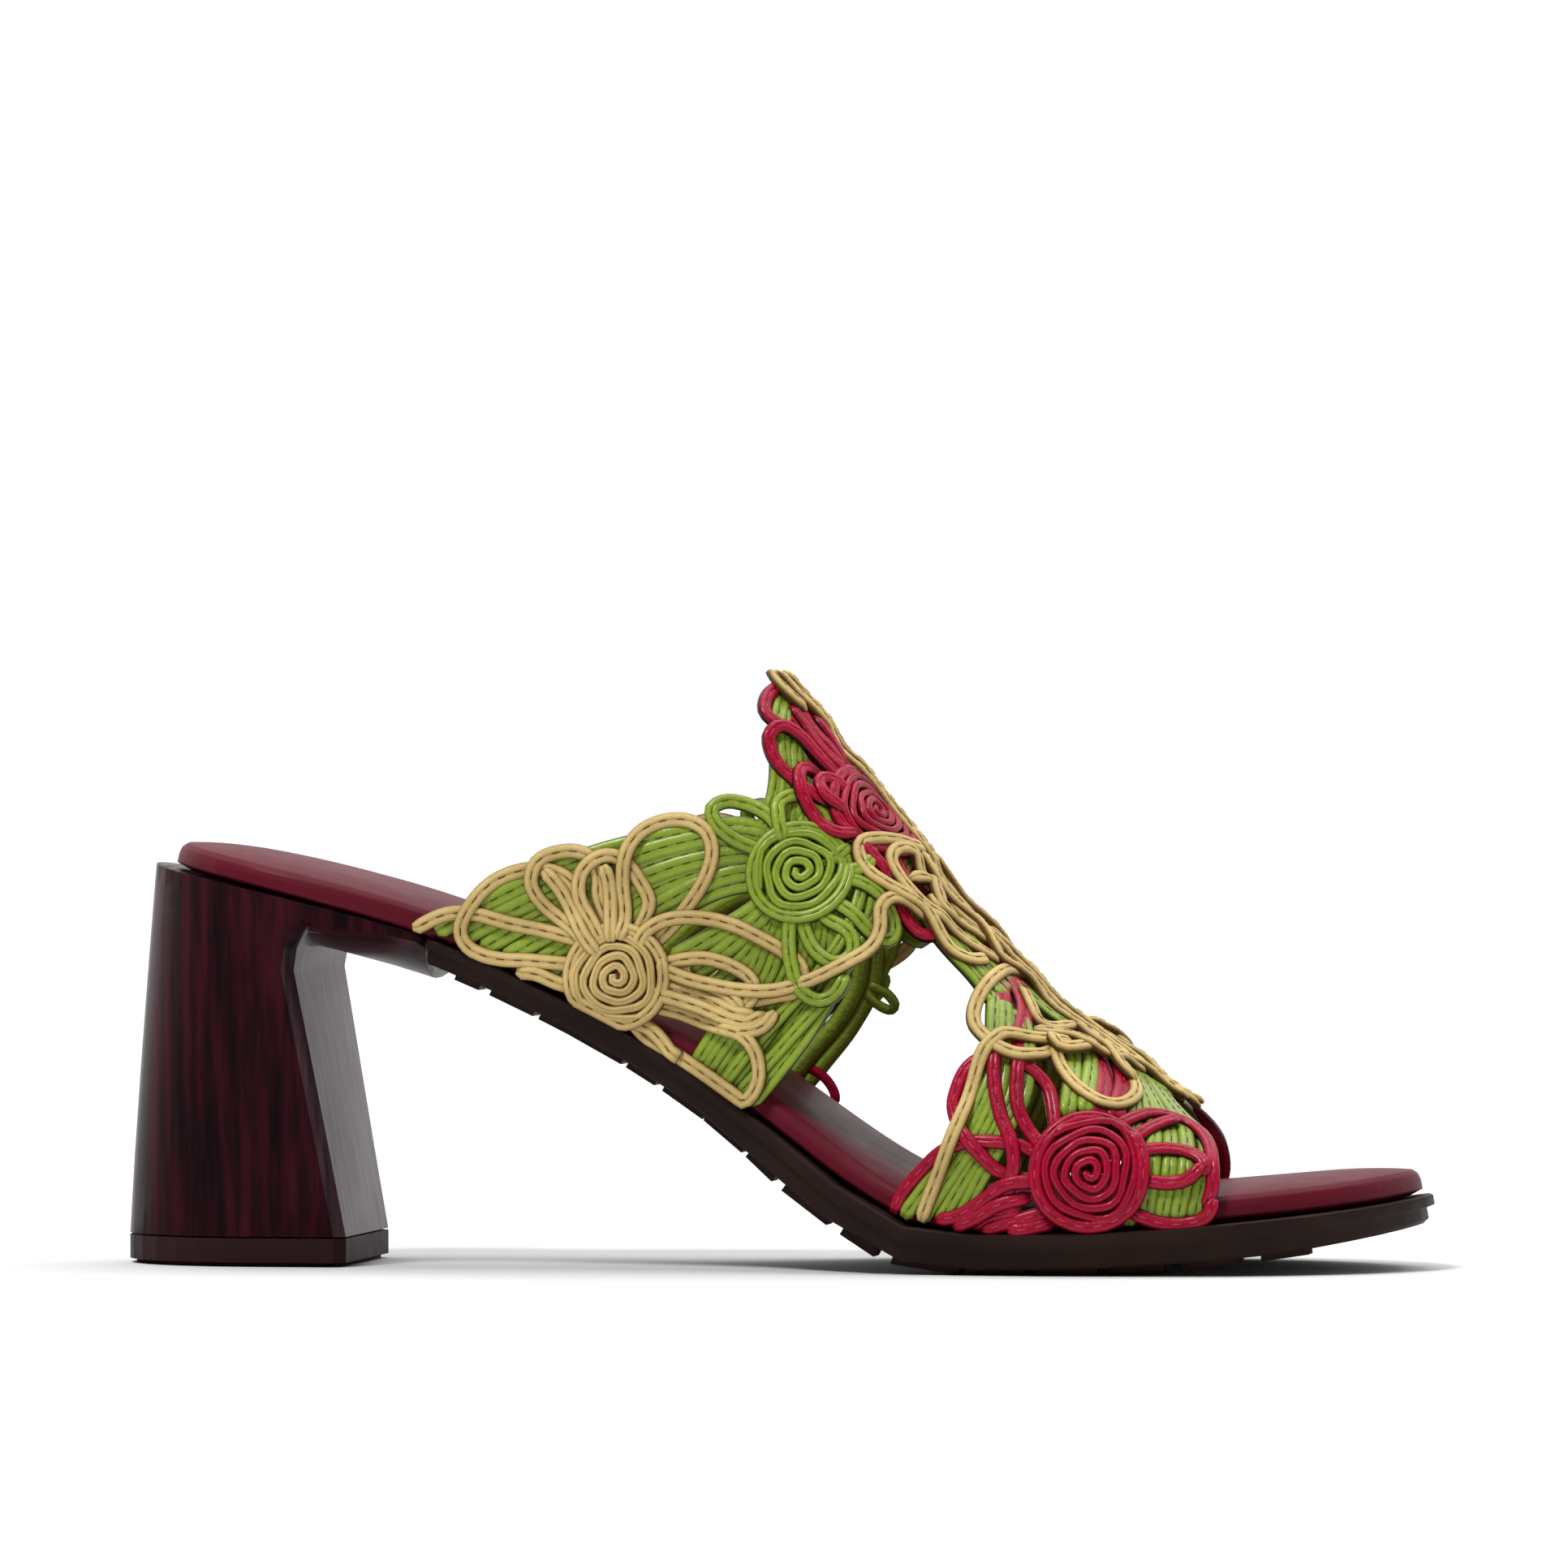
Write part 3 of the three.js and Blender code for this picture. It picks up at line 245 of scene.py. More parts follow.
# Cords' length in millimetres for one unit of their UV map
UV_LENGTH = 10.0

# A cell and those round it
NEAR_CELLS = [(x, y, z) for x in (-1, 0, 1) for y in (-1, 0, 1) for z in (-1, 0, 1)]


def cell_of(point):
    """The cell that holds a point."""
    return tuple(int(value // CELL) for value in point)


class Upper:
    """Lays cords on the skin, each over what already lies there, and keeps a mesh for each colour."""

    def __init__(self):
        self.meshes = {}
        self.cells = {}

    def add(self, colour, points, faces, uvs):
        """Adds points and faces to a colour's mesh."""
        mesh = self.meshes.setdefault(colour, {"points": [], "faces": [], "uvs": [], "count": 0})
        base = mesh["count"]
        mesh["points"].append(points)
        mesh["faces"].extend([tuple(base + i for i in face) for face in faces])
        mesh["uvs"].append(uvs)
        mesh["count"] = base + len(points)

    def below(self, place, half):
        """Height of what lies under each point."""
        need = np.zeros(len(place))
        for i, (x, y, z) in enumerate(place):
            cx, cy, cz = cell_of((x, y, z))
            for dx, dy, dz in NEAR_CELLS:
                for u, v, w, top, wide in self.cells.get((cx + dx, cy + dy, cz + dz), ()):
                    reach = CROSSING * (half + wide)
                    if (u - x) ** 2 + (v - y) ** 2 + (w - z) ** 2 < reach * reach and top > need[i]:
                        need[i] = top
        return need

    def climb(self, place, width, thick):
        """Smooth height of a cord over the cords that it crosses."""
        need = np.maximum(self.below(place, width / 2) - SINK * thick, 0)
        spread = np.maximum.reduce([np.roll(need, k) for k in (-1, 0, 1)])
        spread[0], spread[-1] = need[0], need[-1]
        kernel = np.exp(-0.5 * (np.arange(-CLIMB_REACH, CLIMB_REACH + 1) / (CLIMB_REACH / 2)) ** 2)
        padded = np.pad(spread, CLIMB_REACH, mode="edge")
        return np.minimum(np.convolve(padded, kernel / kernel.sum(), "valid"), CLIMB_LIMIT)

    def lay(self, colour, route, side, width=PETAL_WIDTH, thick=CORD_THICK, section=PIPING, level=None,
            step=SECTION_STEP):
        """Lays one cord along a route of the skin.

        Level is its height over the skin, as one number or as a few from end to end. Without it the cord
        climbs over what it crosses.
        """
        at, girth = route[:, 0], np.minimum(route[:, 1], LOWEST)
        place = skin(at, girth, side)
        out = outward(at, girth, side)
        run = np.concatenate([[0], np.cumsum(np.linalg.norm(np.diff(place, axis=0), axis=1))])
        count = max(int(run[-1] / step), 4)
        marks = np.linspace(0, run[-1], count + 1)
        place = np.stack([np.interp(marks, run, place[:, k]) for k in range(3)], -1)
        out = np.stack([np.interp(marks, run, out[:, k]) for k in range(3)], -1)
        out /= np.linalg.norm(out, axis=1)[:, None]
        if level is None:
            level = self.climb(place, width, thick)
        elif np.isscalar(level):
            level = np.full(len(place), float(level))
        else:
            level = np.interp(np.linspace(0, 1, len(place)), np.linspace(0, 1, len(level)), level)
        way = np.gradient(place, axis=0)
        way /= np.linalg.norm(way, axis=1)[:, None]
        across = np.cross(out, way)
        across /= np.linalg.norm(across, axis=1)[:, None]
        ends = np.clip(np.minimum(marks, run[-1] - marks) / END_LENGTH, 0, 1)
        ends = END_SHARE + (1 - END_SHARE) * np.sqrt(1 - (1 - ends) ** 2)
        profile = np.array(section)
        base = place + out * level[:, None]
        points = (base[:, None, :]
                  + across[:, None, :] * (profile[None, :, 0, None] * (width / 2) * ends[:, None, None])
                  + out[:, None, :] * (profile[None, :, 1, None] * thick * ends[:, None, None]))
        n, m = len(place), len(profile)
        faces = []
        for i in range(n - 1):
            for j in range(m):
                k = (j + 1) % m
                faces.append((i * m + j, (i + 1) * m + j, (i + 1) * m + k, i * m + k))
        faces.append(tuple(range(m)))
        faces.append(tuple(reversed(range((n - 1) * m, n * m))))
        uv = np.stack(np.broadcast_arrays(marks[:, None] / UV_LENGTH, (profile[None, :, 0] + 1) / 2), -1)
        self.add(colour, points.reshape(-1, 3), faces, uv.reshape(-1, 2))
        for point, height in zip(place, level):
            self.cells.setdefault(cell_of(point), []).append((*point, height + thick, width / 2))
        if section is PIPING:
            self.sew(colour + "_thread", marks, base, across, out, thick)

    def sew(self, colour, marks, base, across, out, thick):
        """Dashes of thread along the groove, pinched at both ends."""
        places, heights, size = STITCH_FORM.T
        lift = heights * thick
        ring = [(-1, 0), (0, 1), (1, 0), (0, -1)]
        start = FIRST_STITCH
        while start + STITCH_LENGTH < marks[-1] - LAST_STITCH:
            line = start + places * STITCH_LENGTH
            mid, side_way, up = (np.stack([np.interp(line, marks, v[:, k]) for k in range(3)], -1)
                                 for v in (base, across, out))
            points = [mid[i] + up[i] * (lift[i] + size[i] * v) + side_way[i] * size[i] * u
                      for i in range(4) for u, v in ring]
            faces = [(i * 4 + j, i * 4 + (j + 1) % 4, i * 4 + 4 + (j + 1) % 4, i * 4 + 4 + j)
                     for i in range(3) for j in range(4)]
            self.add(colour, np.array(points), faces, np.tile((start / UV_LENGTH, 0.5), (len(points), 1)))
            start += STITCH_PITCH


upper = Upper()

# Centres of the four flowers: length share, girth share, radius in millimetres
CREAM = (0.360, 0.900, 10.1)
GREEN = (0.440, 0.434, 9.7)
PINK = (0.460, 0.130, 10.6)
TOE = (0.746, 0.812, 10.8)

# Bundles of cords side by side, between a first and a last route: length share and girth share
BUNDLES = [
    ("green", [(0.228, 0.985), (0.264, 0.86), (0.306, 0.70), (0.348, 0.56), (0.392, 0.43), (0.43, 0.40)],
              [(0.335, 0.985), (0.356, 0.84), (0.372, 0.72), (0.394, 0.60), (0.42, 0.51), (0.445, 0.47)]),
    ("green", [(0.436, 0.985), (0.440, 0.84), (0.442, 0.70), (0.440, 0.57), (0.440, 0.45)],
              [(0.481, 0.985), (0.489, 0.86), (0.497, 0.73), (0.498, 0.60), (0.484, 0.47), (0.462, 0.40)]),
    ("green", [(0.388, 0.80), (0.408, 0.69), (0.424, 0.57), (0.436, 0.46)],
              [(0.424, 0.80), (0.434, 0.69), (0.436, 0.57), (0.440, 0.46)]),
    ("green", [(0.402, 0.42), (0.396, 0.33), (0.386, 0.25), (0.372, 0.17), (0.360, 0.05)],
              [(0.430, 0.42), (0.422, 0.33), (0.410, 0.27), (0.392, 0.18), (0.380, 0.06)]),
    ("green", [(0.440, 0.46), (0.446, 0.36), (0.446, 0.27), (0.440, 0.16), (0.430, 0.06)],
              [(0.478, 0.44), (0.492, 0.36), (0.500, 0.29), (0.500, 0.18), (0.495, 0.06)]),
    ("pink", [(0.440, 0.22), (0.470, 0.22), (0.500, 0.22), (0.530, 0.21), (0.558, 0.20)],
             [(0.452, 0.04), (0.480, 0.05), (0.510, 0.05), (0.540, 0.05), (0.565, 0.05)]),
    ("green", [(0.525, 0.24), (0.548, 0.27), (0.575, 0.29), (0.600, 0.30), (0.622, 0.34)],
              [(0.535, 0.10), (0.560, 0.12), (0.585, 0.13), (0.610, 0.13), (0.632, 0.14)]),
    ("green", [(0.606, 0.985), (0.622, 0.85), (0.638, 0.70), (0.641, 0.56), (0.628, 0.43), (0.616, 0.30)],
              [(0.650, 0.985), (0.658, 0.85), (0.668, 0.72), (0.674, 0.60), (0.664, 0.46), (0.645, 0.32)]),
    ("pink", [(0.602, 0.18), (0.622, 0.28), (0.634, 0.40), (0.640, 0.52)],
             [(0.618, 0.16), (0.640, 0.26), (0.650, 0.38), (0.655, 0.50)]),
    ("green", [(0.684, 0.20), (0.698, 0.34), (0.708, 0.48), (0.716, 0.64)],
              [(0.698, 0.18), (0.712, 0.32), (0.723, 0.46), (0.730, 0.62)]),
    ("pink", [(0.705, 0.14), (0.722, 0.30), (0.736, 0.46), (0.742, 0.62)],
             [(0.722, 0.12), (0.740, 0.28), (0.752, 0.44), (0.756, 0.62)]),
    ("green", [(0.736, 0.14), (0.752, 0.30), (0.766, 0.46), (0.776, 0.64), (0.782, 0.82), (0.784, 0.985)],
              [(0.778, 0.12), (0.792, 0.26), (0.808, 0.40), (0.828, 0.56), (0.838, 0.75), (0.834, 0.985)]),
    ("pink", [(0.362, 0.013), (0.42, 0.013), (0.48, 0.015), (0.54, 0.018), (0.60, 0.02), (0.64, 0.02)],
             [(0.372, 0.12), (0.42, 0.12), (0.48, 0.12), (0.54, 0.11), (0.60, 0.12), (0.64, 0.16)]),
    ("green", [(0.62, 0.02), (0.67, 0.02), (0.72, 0.02), (0.77, 0.02), (0.798, 0.02)],
              [(0.62, 0.16), (0.67, 0.19), (0.72, 0.18), (0.76, 0.14), (0.784, 0.10)]),
]

# Petals and stems round the flowers: millimetres forward and towards the ridge from the centre
PETALS = [
    ("cream", CREAM, [(-38.0, -8.4), (-33.6, -4.2), (-29, -2.2), (-22, -0.9), (-16.6, 0.6), (-11, 2.0),
                      (-6, 3)]),
    ("cream", CREAM, [(-6, 5), (-11, 7.6), (-17, 10.5), (-23.7, 8.5), (-28.8, 3), (-29.8, -4.6),
                      (-26.2, -7.6), (-20.9, -7.0), (-16, -5.0), (-11, -3.0), (-6, -1)]),
    ("cream", CREAM, [(-6, 2), (-11, 3.5), (-18, 4.5), (-21.8, 6.3), (-23.2, 9.4), (-22.2, 12),
                      (-18.6, 14.9), (-14.8, 15.4), (-12, 13.2), (-10, 10.4), (-5, 7)]),
    ("cream", CREAM, [(-21.4, 9.6), (-18, 8.6), (-14.4, 6.9), (-9, 3.6), (-5, 2)]),
    ("cream", CREAM, [(-5, 4), (-9, 6.4), (-13.2, 8.8), (-15.2, 12.4), (-14.5, 15.8), (-12.1, 17.9),
                      (-8.5, 17.9), (-4.4, 16.2), (-1.9, 14.4), (-1.0, 10.8), (-1, 6)]),
    ("cream", CREAM, [(-12.6, 15.6), (-10.5, 14.2), (-8.2, 11.4), (-6.1, 8.3), (-4, 5)]),
    ("cream", CREAM, [(-3, 6), (-4.2, 10), (-7.9, 15), (-10.3, 19.6), (-10.4, 24.0), (-8.1, 28.0),
                      (-4.6, 30.4), (-0.8, 30.6), (2.3, 28), (3.9, 23.6), (4.2, 18.8), (3.7, 12.8),
                      (2, 7)]),
    ("cream", CREAM, [(8, 3), (12, 4.2), (18, 5.8), (23.0, 9.4), (26.9, 13.6), (29.6, 17), (27.6, 20.6),
                      (22.7, 21.0), (16.7, 20.2), (12, 19.2), (7, 17), (2.4, 13.4), (0.2, 9), (1, 5)]),
    ("cream", CREAM, [(5, 5), (9, 9.2), (12.8, 11.8), (17.9, 13.2), (21.8, 12.9), (23.4, 10.6), (22.6, 7),
                      (21, 3.4)]),
    ("cream", CREAM, [(6, 3), (10.1, 5.6), (15.1, 7.4), (19.6, 8.2), (23.2, 7.6)]),
    ("cream", CREAM, [(7, 2.5), (12, 4.0), (17, 5.4), (22, 6.2), (26, 8.0)]),
    ("cream", CREAM, [(6, 0.5), (11, 2.0), (16, 3.4), (21, 4.4), (25.2, 6.2), (27.2, 9.5)]),
    ("cream", CREAM, [(8, -1.5), (13, 0.2), (18.7, 1.5), (24.5, 3.7), (28.0, 7.2), (28.4, 11)]),
    ("cream", CREAM, [(4, -5), (8.4, -6.6), (13, -7.8), (17.9, -8.8), (23, -9.6), (28.2, -9.4),
                      (32.0, -6.4), (32.2, -1.6), (29.4, 2.4), (25.6, 3.6), (21, 2.2)]),
    ("cream", CREAM, [(6, -6), (9.6, -5.2), (14, -6.4), (17.4, -8.6), (16.6, -11)]),
    ("cream", CREAM, [(-5, -5), (-9, -6.0), (-13.6, -6.4), (-17, -7.8)]),
    ("green", GREEN, [(-5, -1), (-9.1, -2), (-12.9, -3), (-17.1, -3), (-19.7, -1.5), (-18.9, 1.2),
                      (-15.9, 3.1), (-12.1, 4.0), (-9.0, 3.6), (-5, 2)]),
    ("green", GREEN, [(-6, 2), (-9.6, 4.4), (-11.8, 6.8), (-11.2, 9.4), (-8.8, 11.6), (-5.6, 12.0),
                      (-2.8, 10.8), (-1.4, 8), (-2, 5)]),
    ("green", GREEN, [(-1.8, 6), (-0.6, 9.8), (3.1, 11.9), (6.6, 11), (7.4, 7.8), (5, 5)]),
    ("green", GREEN, [(-7.4, 8.4), (-5.4, 6.4), (-3.4, 4)]),
    ("green", GREEN, [(2.6, 9.6), (2.6, 7), (2, 4)]),
    ("green", GREEN, [(5, 3), (9, 5.6), (14, 6.6), (18.6, 5.4), (20.2, 2.4), (17, 0.6), (12, 0.6), (6, 0)]),
    ("green", GREEN, [(5, -2), (9.4, -3.0), (14.4, -2.4), (17.4, -4.6), (16.4, -8), (12.4, -8.8),
                      (8.4, -7.4), (4, -4)]),
    ("green", GREEN, [(3, -5), (6.4, -9.6), (10, -13), (14.4, -15.6), (18.6, -15), (20.2, -11.8),
                      (19.2, -8)]),
]

# The same round the flower on the toe, all pink
TOE_PETALS = [
    [(3, 8.2), (6.3, 11.4), (9.3, 14.2), (13, 15.6), (16.7, 14.6), (19.5, 11.2), (21, 6.6), (21.7, 1.6),
     (21.7, -2.6), (20.4, -6.5)],
    [(7, 6.4), (9.6, 9.4), (12.4, 12), (15, 13.6)],
    [(8, 4.2), (13, 4.9), (16.7, 4.4), (19.6, 2.6), (20.8, -0.4)],
    [(9, -1.0), (14.4, -1.5), (17.8, -0.8), (20, 1.0)],
    [(7, -6.6), (12.2, -8.9), (16.7, -9.4), (20.4, -8.2), (22, -4.6)],
    [(-26.7, -9.8), (-22.6, -8.5), (-18.5, -5.6), (-14.4, -2.8), (-9, -2)],
    [(-20.4, -10.2), (-16.7, -8.1), (-12, -7)],
    [(-23.5, -10.6), (-19.5, -8.6), (-15.5, -6.2), (-10, -4.6)],
    [(-18.6, -10.8), (-15, -9.6), (-11, -8.4), (-7, -7)],
    [(-14, -11), (-10.4, -10.2), (-6, -9)],
]

# Stems, knots, borders and the petals of the upper pink flower: length share and girth share
GREEN_STEMS = [
    [(0.462, 0.31), (0.4765, 0.32), (0.485, 0.37), (0.489, 0.45), (0.488, 0.54), (0.484, 0.63),
     (0.476, 0.74), (0.467, 0.86), (0.460, 0.985)],
    [(0.470, 0.29), (0.488, 0.31), (0.498, 0.38), (0.500, 0.46), (0.500, 0.55), (0.497, 0.65),
     (0.489, 0.76), (0.480, 0.88), (0.472, 0.985)],
]
PINK_STEMS = [
    [(0.408, 0.09), (0.400, 0.05), (0.380, 0.035), (0.362, 0.06), (0.357, 0.12), (0.362, 0.18),
     (0.376, 0.18), (0.390, 0.155), (0.405, 0.15), (0.428, 0.14)],
    [(0.432, 0.16), (0.410, 0.165), (0.388, 0.17), (0.375, 0.19), (0.373, 0.23), (0.385, 0.26),
     (0.400, 0.265), (0.418, 0.26), (0.432, 0.24), (0.445, 0.20)],
    [(0.430, 0.20), (0.412, 0.20), (0.402, 0.235), (0.410, 0.28), (0.432, 0.305), (0.450, 0.29),
     (0.460, 0.25)],
    [(0.440, 0.17), (0.424, 0.185), (0.416, 0.22), (0.426, 0.245), (0.444, 0.23)],
    [(0.425, 0.10), (0.405, 0.10), (0.388, 0.085), (0.376, 0.07)],
    [(0.440, 0.12), (0.420, 0.13), (0.400, 0.125), (0.384, 0.11), (0.372, 0.10)],
    [(0.446, 0.07), (0.424, 0.07), (0.404, 0.065), (0.386, 0.05)],
    [(0.462, 0.27), (0.482, 0.275), (0.500, 0.28), (0.520, 0.31), (0.538, 0.315), (0.548, 0.28),
     (0.535, 0.25)],
    [(0.488, 0.19), (0.500, 0.22), (0.512, 0.26), (0.524, 0.29)],
    [(0.598, 0.985), (0.601, 0.92), (0.609, 0.86), (0.621, 0.80), (0.636, 0.765), (0.657, 0.748),
     (0.683, 0.748), (0.708, 0.775)],
    [(0.640, 0.51), (0.628, 0.53), (0.619, 0.57), (0.617, 0.63), (0.620, 0.68), (0.634, 0.735),
     (0.654, 0.785), (0.672, 0.825), (0.690, 0.84), (0.710, 0.84)],
    [(0.652, 0.51), (0.672, 0.52), (0.692, 0.56), (0.704, 0.64), (0.712, 0.72)],
    [(0.655, 0.46), (0.662, 0.55), (0.672, 0.64), (0.690, 0.71), (0.71, 0.76)],
    [(0.636, 0.49), (0.645, 0.58), (0.660, 0.67), (0.676, 0.74), (0.684, 0.81), (0.683, 0.87),
     (0.690, 0.93), (0.704, 0.985)],
]
CREAM_STEMS = [
    [(0.385, 0.83), (0.405, 0.815), (0.425, 0.79), (0.446, 0.755), (0.466, 0.705), (0.484, 0.63),
     (0.498, 0.55), (0.507, 0.49), (0.511, 0.44), (0.509, 0.40), (0.503, 0.37), (0.503, 0.335),
     (0.509, 0.305), (0.520, 0.285), (0.535, 0.28)],
    [(0.500, 0.03), (0.495, 0.10), (0.484, 0.17), (0.474, 0.22), (0.466, 0.265), (0.470, 0.30),
     (0.482, 0.315), (0.497, 0.305), (0.512, 0.285), (0.528, 0.27), (0.545, 0.285), (0.565, 0.295),
     (0.582, 0.27), (0.592, 0.20)],
    [(0.525, 0.17), (0.511, 0.15), (0.497, 0.14), (0.488, 0.19), (0.489, 0.24), (0.501, 0.26),
     (0.515, 0.265), (0.530, 0.262), (0.546, 0.245), (0.560, 0.23), (0.578, 0.21), (0.600, 0.14)],
    [(0.508, 0.22), (0.515, 0.175), (0.525, 0.15), (0.534, 0.17), (0.530, 0.21), (0.540, 0.235)],
    [(0.518, 0.13), (0.530, 0.19), (0.545, 0.21), (0.565, 0.15), (0.585, 0.10)],
    [(0.505, 0.09), (0.525, 0.10), (0.548, 0.12), (0.570, 0.10), (0.592, 0.07), (0.62, 0.06)],
    [(0.632, 0.05), (0.615, 0.13), (0.608, 0.23), (0.604, 0.34), (0.608, 0.42), (0.622, 0.47),
     (0.640, 0.50), (0.660, 0.50), (0.675, 0.46), (0.684, 0.40), (0.700, 0.34)],
    [(0.632, 0.20), (0.646, 0.26), (0.660, 0.30), (0.676, 0.27), (0.690, 0.18)],
    [(0.696, 0.36), (0.668, 0.40), (0.650, 0.425), (0.637, 0.46), (0.629, 0.52), (0.629, 0.61),
     (0.630, 0.70), (0.627, 0.80), (0.624, 0.90), (0.622, 0.985)],
    [(0.682, 0.41), (0.698, 0.48), (0.715, 0.535), (0.738, 0.57), (0.755, 0.555), (0.763, 0.49),
     (0.762, 0.40), (0.750, 0.31), (0.738, 0.24)],
    [(0.674, 0.38), (0.688, 0.42), (0.702, 0.38), (0.710, 0.30), (0.722, 0.20)],
    [(0.660, 0.34), (0.682, 0.31), (0.704, 0.33), (0.724, 0.30), (0.740, 0.20), (0.757, 0.12)],
    [(0.690, 0.20), (0.706, 0.24), (0.722, 0.26), (0.742, 0.33), (0.757, 0.37)],
    [(0.392, 0.02), (0.370, 0.01), (0.355, 0.02), (0.350, 0.05), (0.354, 0.085), (0.366, 0.09),
     (0.380, 0.07)],
]

# Loops that stand past the front edge of the medial side
MEDIAL_LOOPS = [
    ("green", [(0.496, 0.605), (0.508, 0.592), (0.517, 0.60), (0.516, 0.622), (0.506, 0.634), (0.493, 0.63)]),
    ("pink", [(0.474, 0.905), (0.494, 0.895), (0.505, 0.92), (0.500, 0.955), (0.482, 0.965), (0.470, 0.955)]),
]

# Cream strands along the ridge: length shares of their ends, and girth shares at even places between
SPINE = [
    (0.350, 0.500, [0.018, 0.04, 0.026, 0.05, 0.03, 0.045, 0.03]),
    (0.480, 0.812, [0.03, 0.02, 0.04, 0.045, 0.065, 0.045, 0.075, 0.05, 0.06, 0.035, 0.015]),
    (0.500, 0.800, [0.09, 0.12, 0.095, 0.135, 0.09, 0.125, 0.11, 0.135, 0.09, 0.06]),
]

# A rosette: its rim of piping, and the cord wound on edge inside it, in millimetres and radians
RIM_WIDTH = 2.5
RIM_THICK = 1.8
RIM_INSET = 1.3
RIM_START = 0.6
RIM_TURNS = 1.05
RIM_POINTS = 46
RIM_LEVELS = [0.9, 1.3, 1.3, 1.3, 1.5, 1.9]
WINDING_INSET = 2.4
WINDING_PITCH = 1.55
WINDING_THICK = 2.2
WINDING_STEP = 0.8
WINDING_START = 2.1
WINDING_POINTS = 26
EYE_RADIUS = 0.3
EYE_GAP = 0.55

# A bundle: points of a route and those at which the space is measured, how far its cords overlap and
# widen, how much they wave in length share, and how far every second one stands up
ROUTE_POINTS = 60
MEASURED = [6, 30, 54]
OVERLAP = 1.04
WIDEST = 1.4
WAVE = 0.0012
SECOND_LIFT = 0.25


def rosette(colour, centre, side):
    """A coil of cord on edge inside one turn of piping, uneven as if laid by hand."""
    radius = centre[2] - RIM_INSET
    angle = np.linspace(RIM_START, RIM_START + 2 * math.pi * RIM_TURNS, RIM_POINTS)
    rim = [(math.cos(a) * radius, math.sin(a) * radius) for a in angle]
    upper.lay(colour, walk(centre[:2], rim, side), side, RIM_WIDTH, RIM_THICK, level=RIM_LEVELS)
    inner = centre[2] - WINDING_INSET
    turns = (inner - EYE_GAP) / WINDING_PITCH
    steps = int(turns * WINDING_POINTS)
    angle = np.linspace(WINDING_START, WINDING_START + 2 * math.pi * turns, steps)
    share = np.linspace(0, 1, steps)
    wobble = 0.05 * np.sin(3 * angle + centre[0] * 40) + 0.03 * np.sin(5.3 * angle + centre[0] * 90)
    reach = EYE_RADIUS + (inner + WINDING_PITCH * 0.35 - EYE_RADIUS) * share
    spiral = np.stack([np.cos(angle), np.sin(angle)], -1) * (reach * (1 + wobble))[:, None]
    hills = 1.25 + 0.18 * np.sin(angle * 2.3 + centre[1] * 30) - 0.25 * share
    upper.lay(colour, walk(centre[:2], spiral, side), side, WINDING_PITCH * OVERLAP, WINDING_THICK, ON_EDGE,
              level=list(hills), step=WINDING_STEP)


def bundle(colour, first, last, side, rng):
    """Cords side by side that fill the space between two routes."""
    share = np.linspace(0, 1, ROUTE_POINTS)[:, None]
    edges = []
    for route in (smooth_line(first), smooth_line(last)):
        marks = np.linspace(0, 1, len(route))
        edges.append(np.hstack([np.interp(share, marks, route[:, k]) for k in (0, 1)]))
    places = [skin(edge[MEASURED, 0], edge[MEASURED, 1], side) for edge in edges]
    spread = np.linalg.norm(places[1] - places[0], axis=1)
    count = max(int(round(spread.mean() / STRAND_WIDTH)) + 1, 2)
    width = OVERLAP * min(max(spread.max() / (count - 1), STRAND_WIDTH), WIDEST * STRAND_WIDTH)
    for i in range(count):
        across = i / (count - 1)
        wave = WAVE * np.sin(share * 7 + rng.uniform(0, 6)) * np.sin(math.pi * share)
        route = edges[0] * (1 - across) + edges[1] * across + np.hstack([wave, wave * 0])
        upper.lay(colour, route, side, width, STRAND_THICK, level=SECOND_LIFT * (i % 2))


def lay_side(side, rng):
    """All cords of one side of the upper, from the lowest to the topmost."""
    for colour, first, last in BUNDLES:
        bundle(colour, first, last, side, rng)
    for route in GREEN_STEMS:
        upper.lay("green", smooth_line(route), side, STRAND_WIDTH)
    for colour, centre, local in PETALS:
        upper.lay(colour, walk(centre[:2], smooth_line(local), side), side)
    if side > 0:
        for colour, route in MEDIAL_LOOPS:
            upper.lay(colour, smooth_line(route), side, LOOP_WIDTH, level=LOOP_LEVEL,
                      step=LOOP_STEP)
    for route in PINK_STEMS:
        upper.lay("pink", smooth_line(route), side, STRAND_WIDTH)
    for local in TOE_PETALS:
        upper.lay("pink", walk(TOE[:2], smooth_line(local), side), side, STRAND_WIDTH)
    rosette("green", GREEN, side)
    rosette("pink", PINK, side)
    rosette("pink", TOE, side)
    for route in CREAM_STEMS:
        upper.lay("cream", smooth_line(route), side, STEM_WIDTH)
    for start, end, girths in SPINE:
        at = np.linspace(start, end, len(girths))
        upper.lay("cream", smooth_line(np.stack([at, girths], -1)), side, STRAND_WIDTH)
    rosette("cream", CREAM, side)


rng = np.random.default_rng(7)
for side in (-1, 1):
    lay_side(side, rng)


# Finishes

def nodes_of(name):
    """A new material, its nodes and its shader."""
    material = bpy.data.materials.new(name)
    material.use_nodes = True
    tree = material.node_tree
    return material, tree, tree.nodes["Principled BSDF"]


def add(tree, kind, **values):
    """A new node, with its settings or the values of its sockets."""
    node = tree.nodes.new("ShaderNode" + kind)
    for key, value in values.items():
        if hasattr(node, key):
            setattr(node, key, value)
        else:
            node.inputs[key.replace("_", " ")].default_value = value
    return node


def linear(red, green, blue):
    """From the 0-255 value of a colour as seen to the shader's."""
    shares = [value / 255 for value in (red, green, blue)]
    light = [s / 12.92 if s <= 0.04 else ((s + 0.055) / 1.055) ** 2.4 for s in shares]
    return (*light, 1.0)


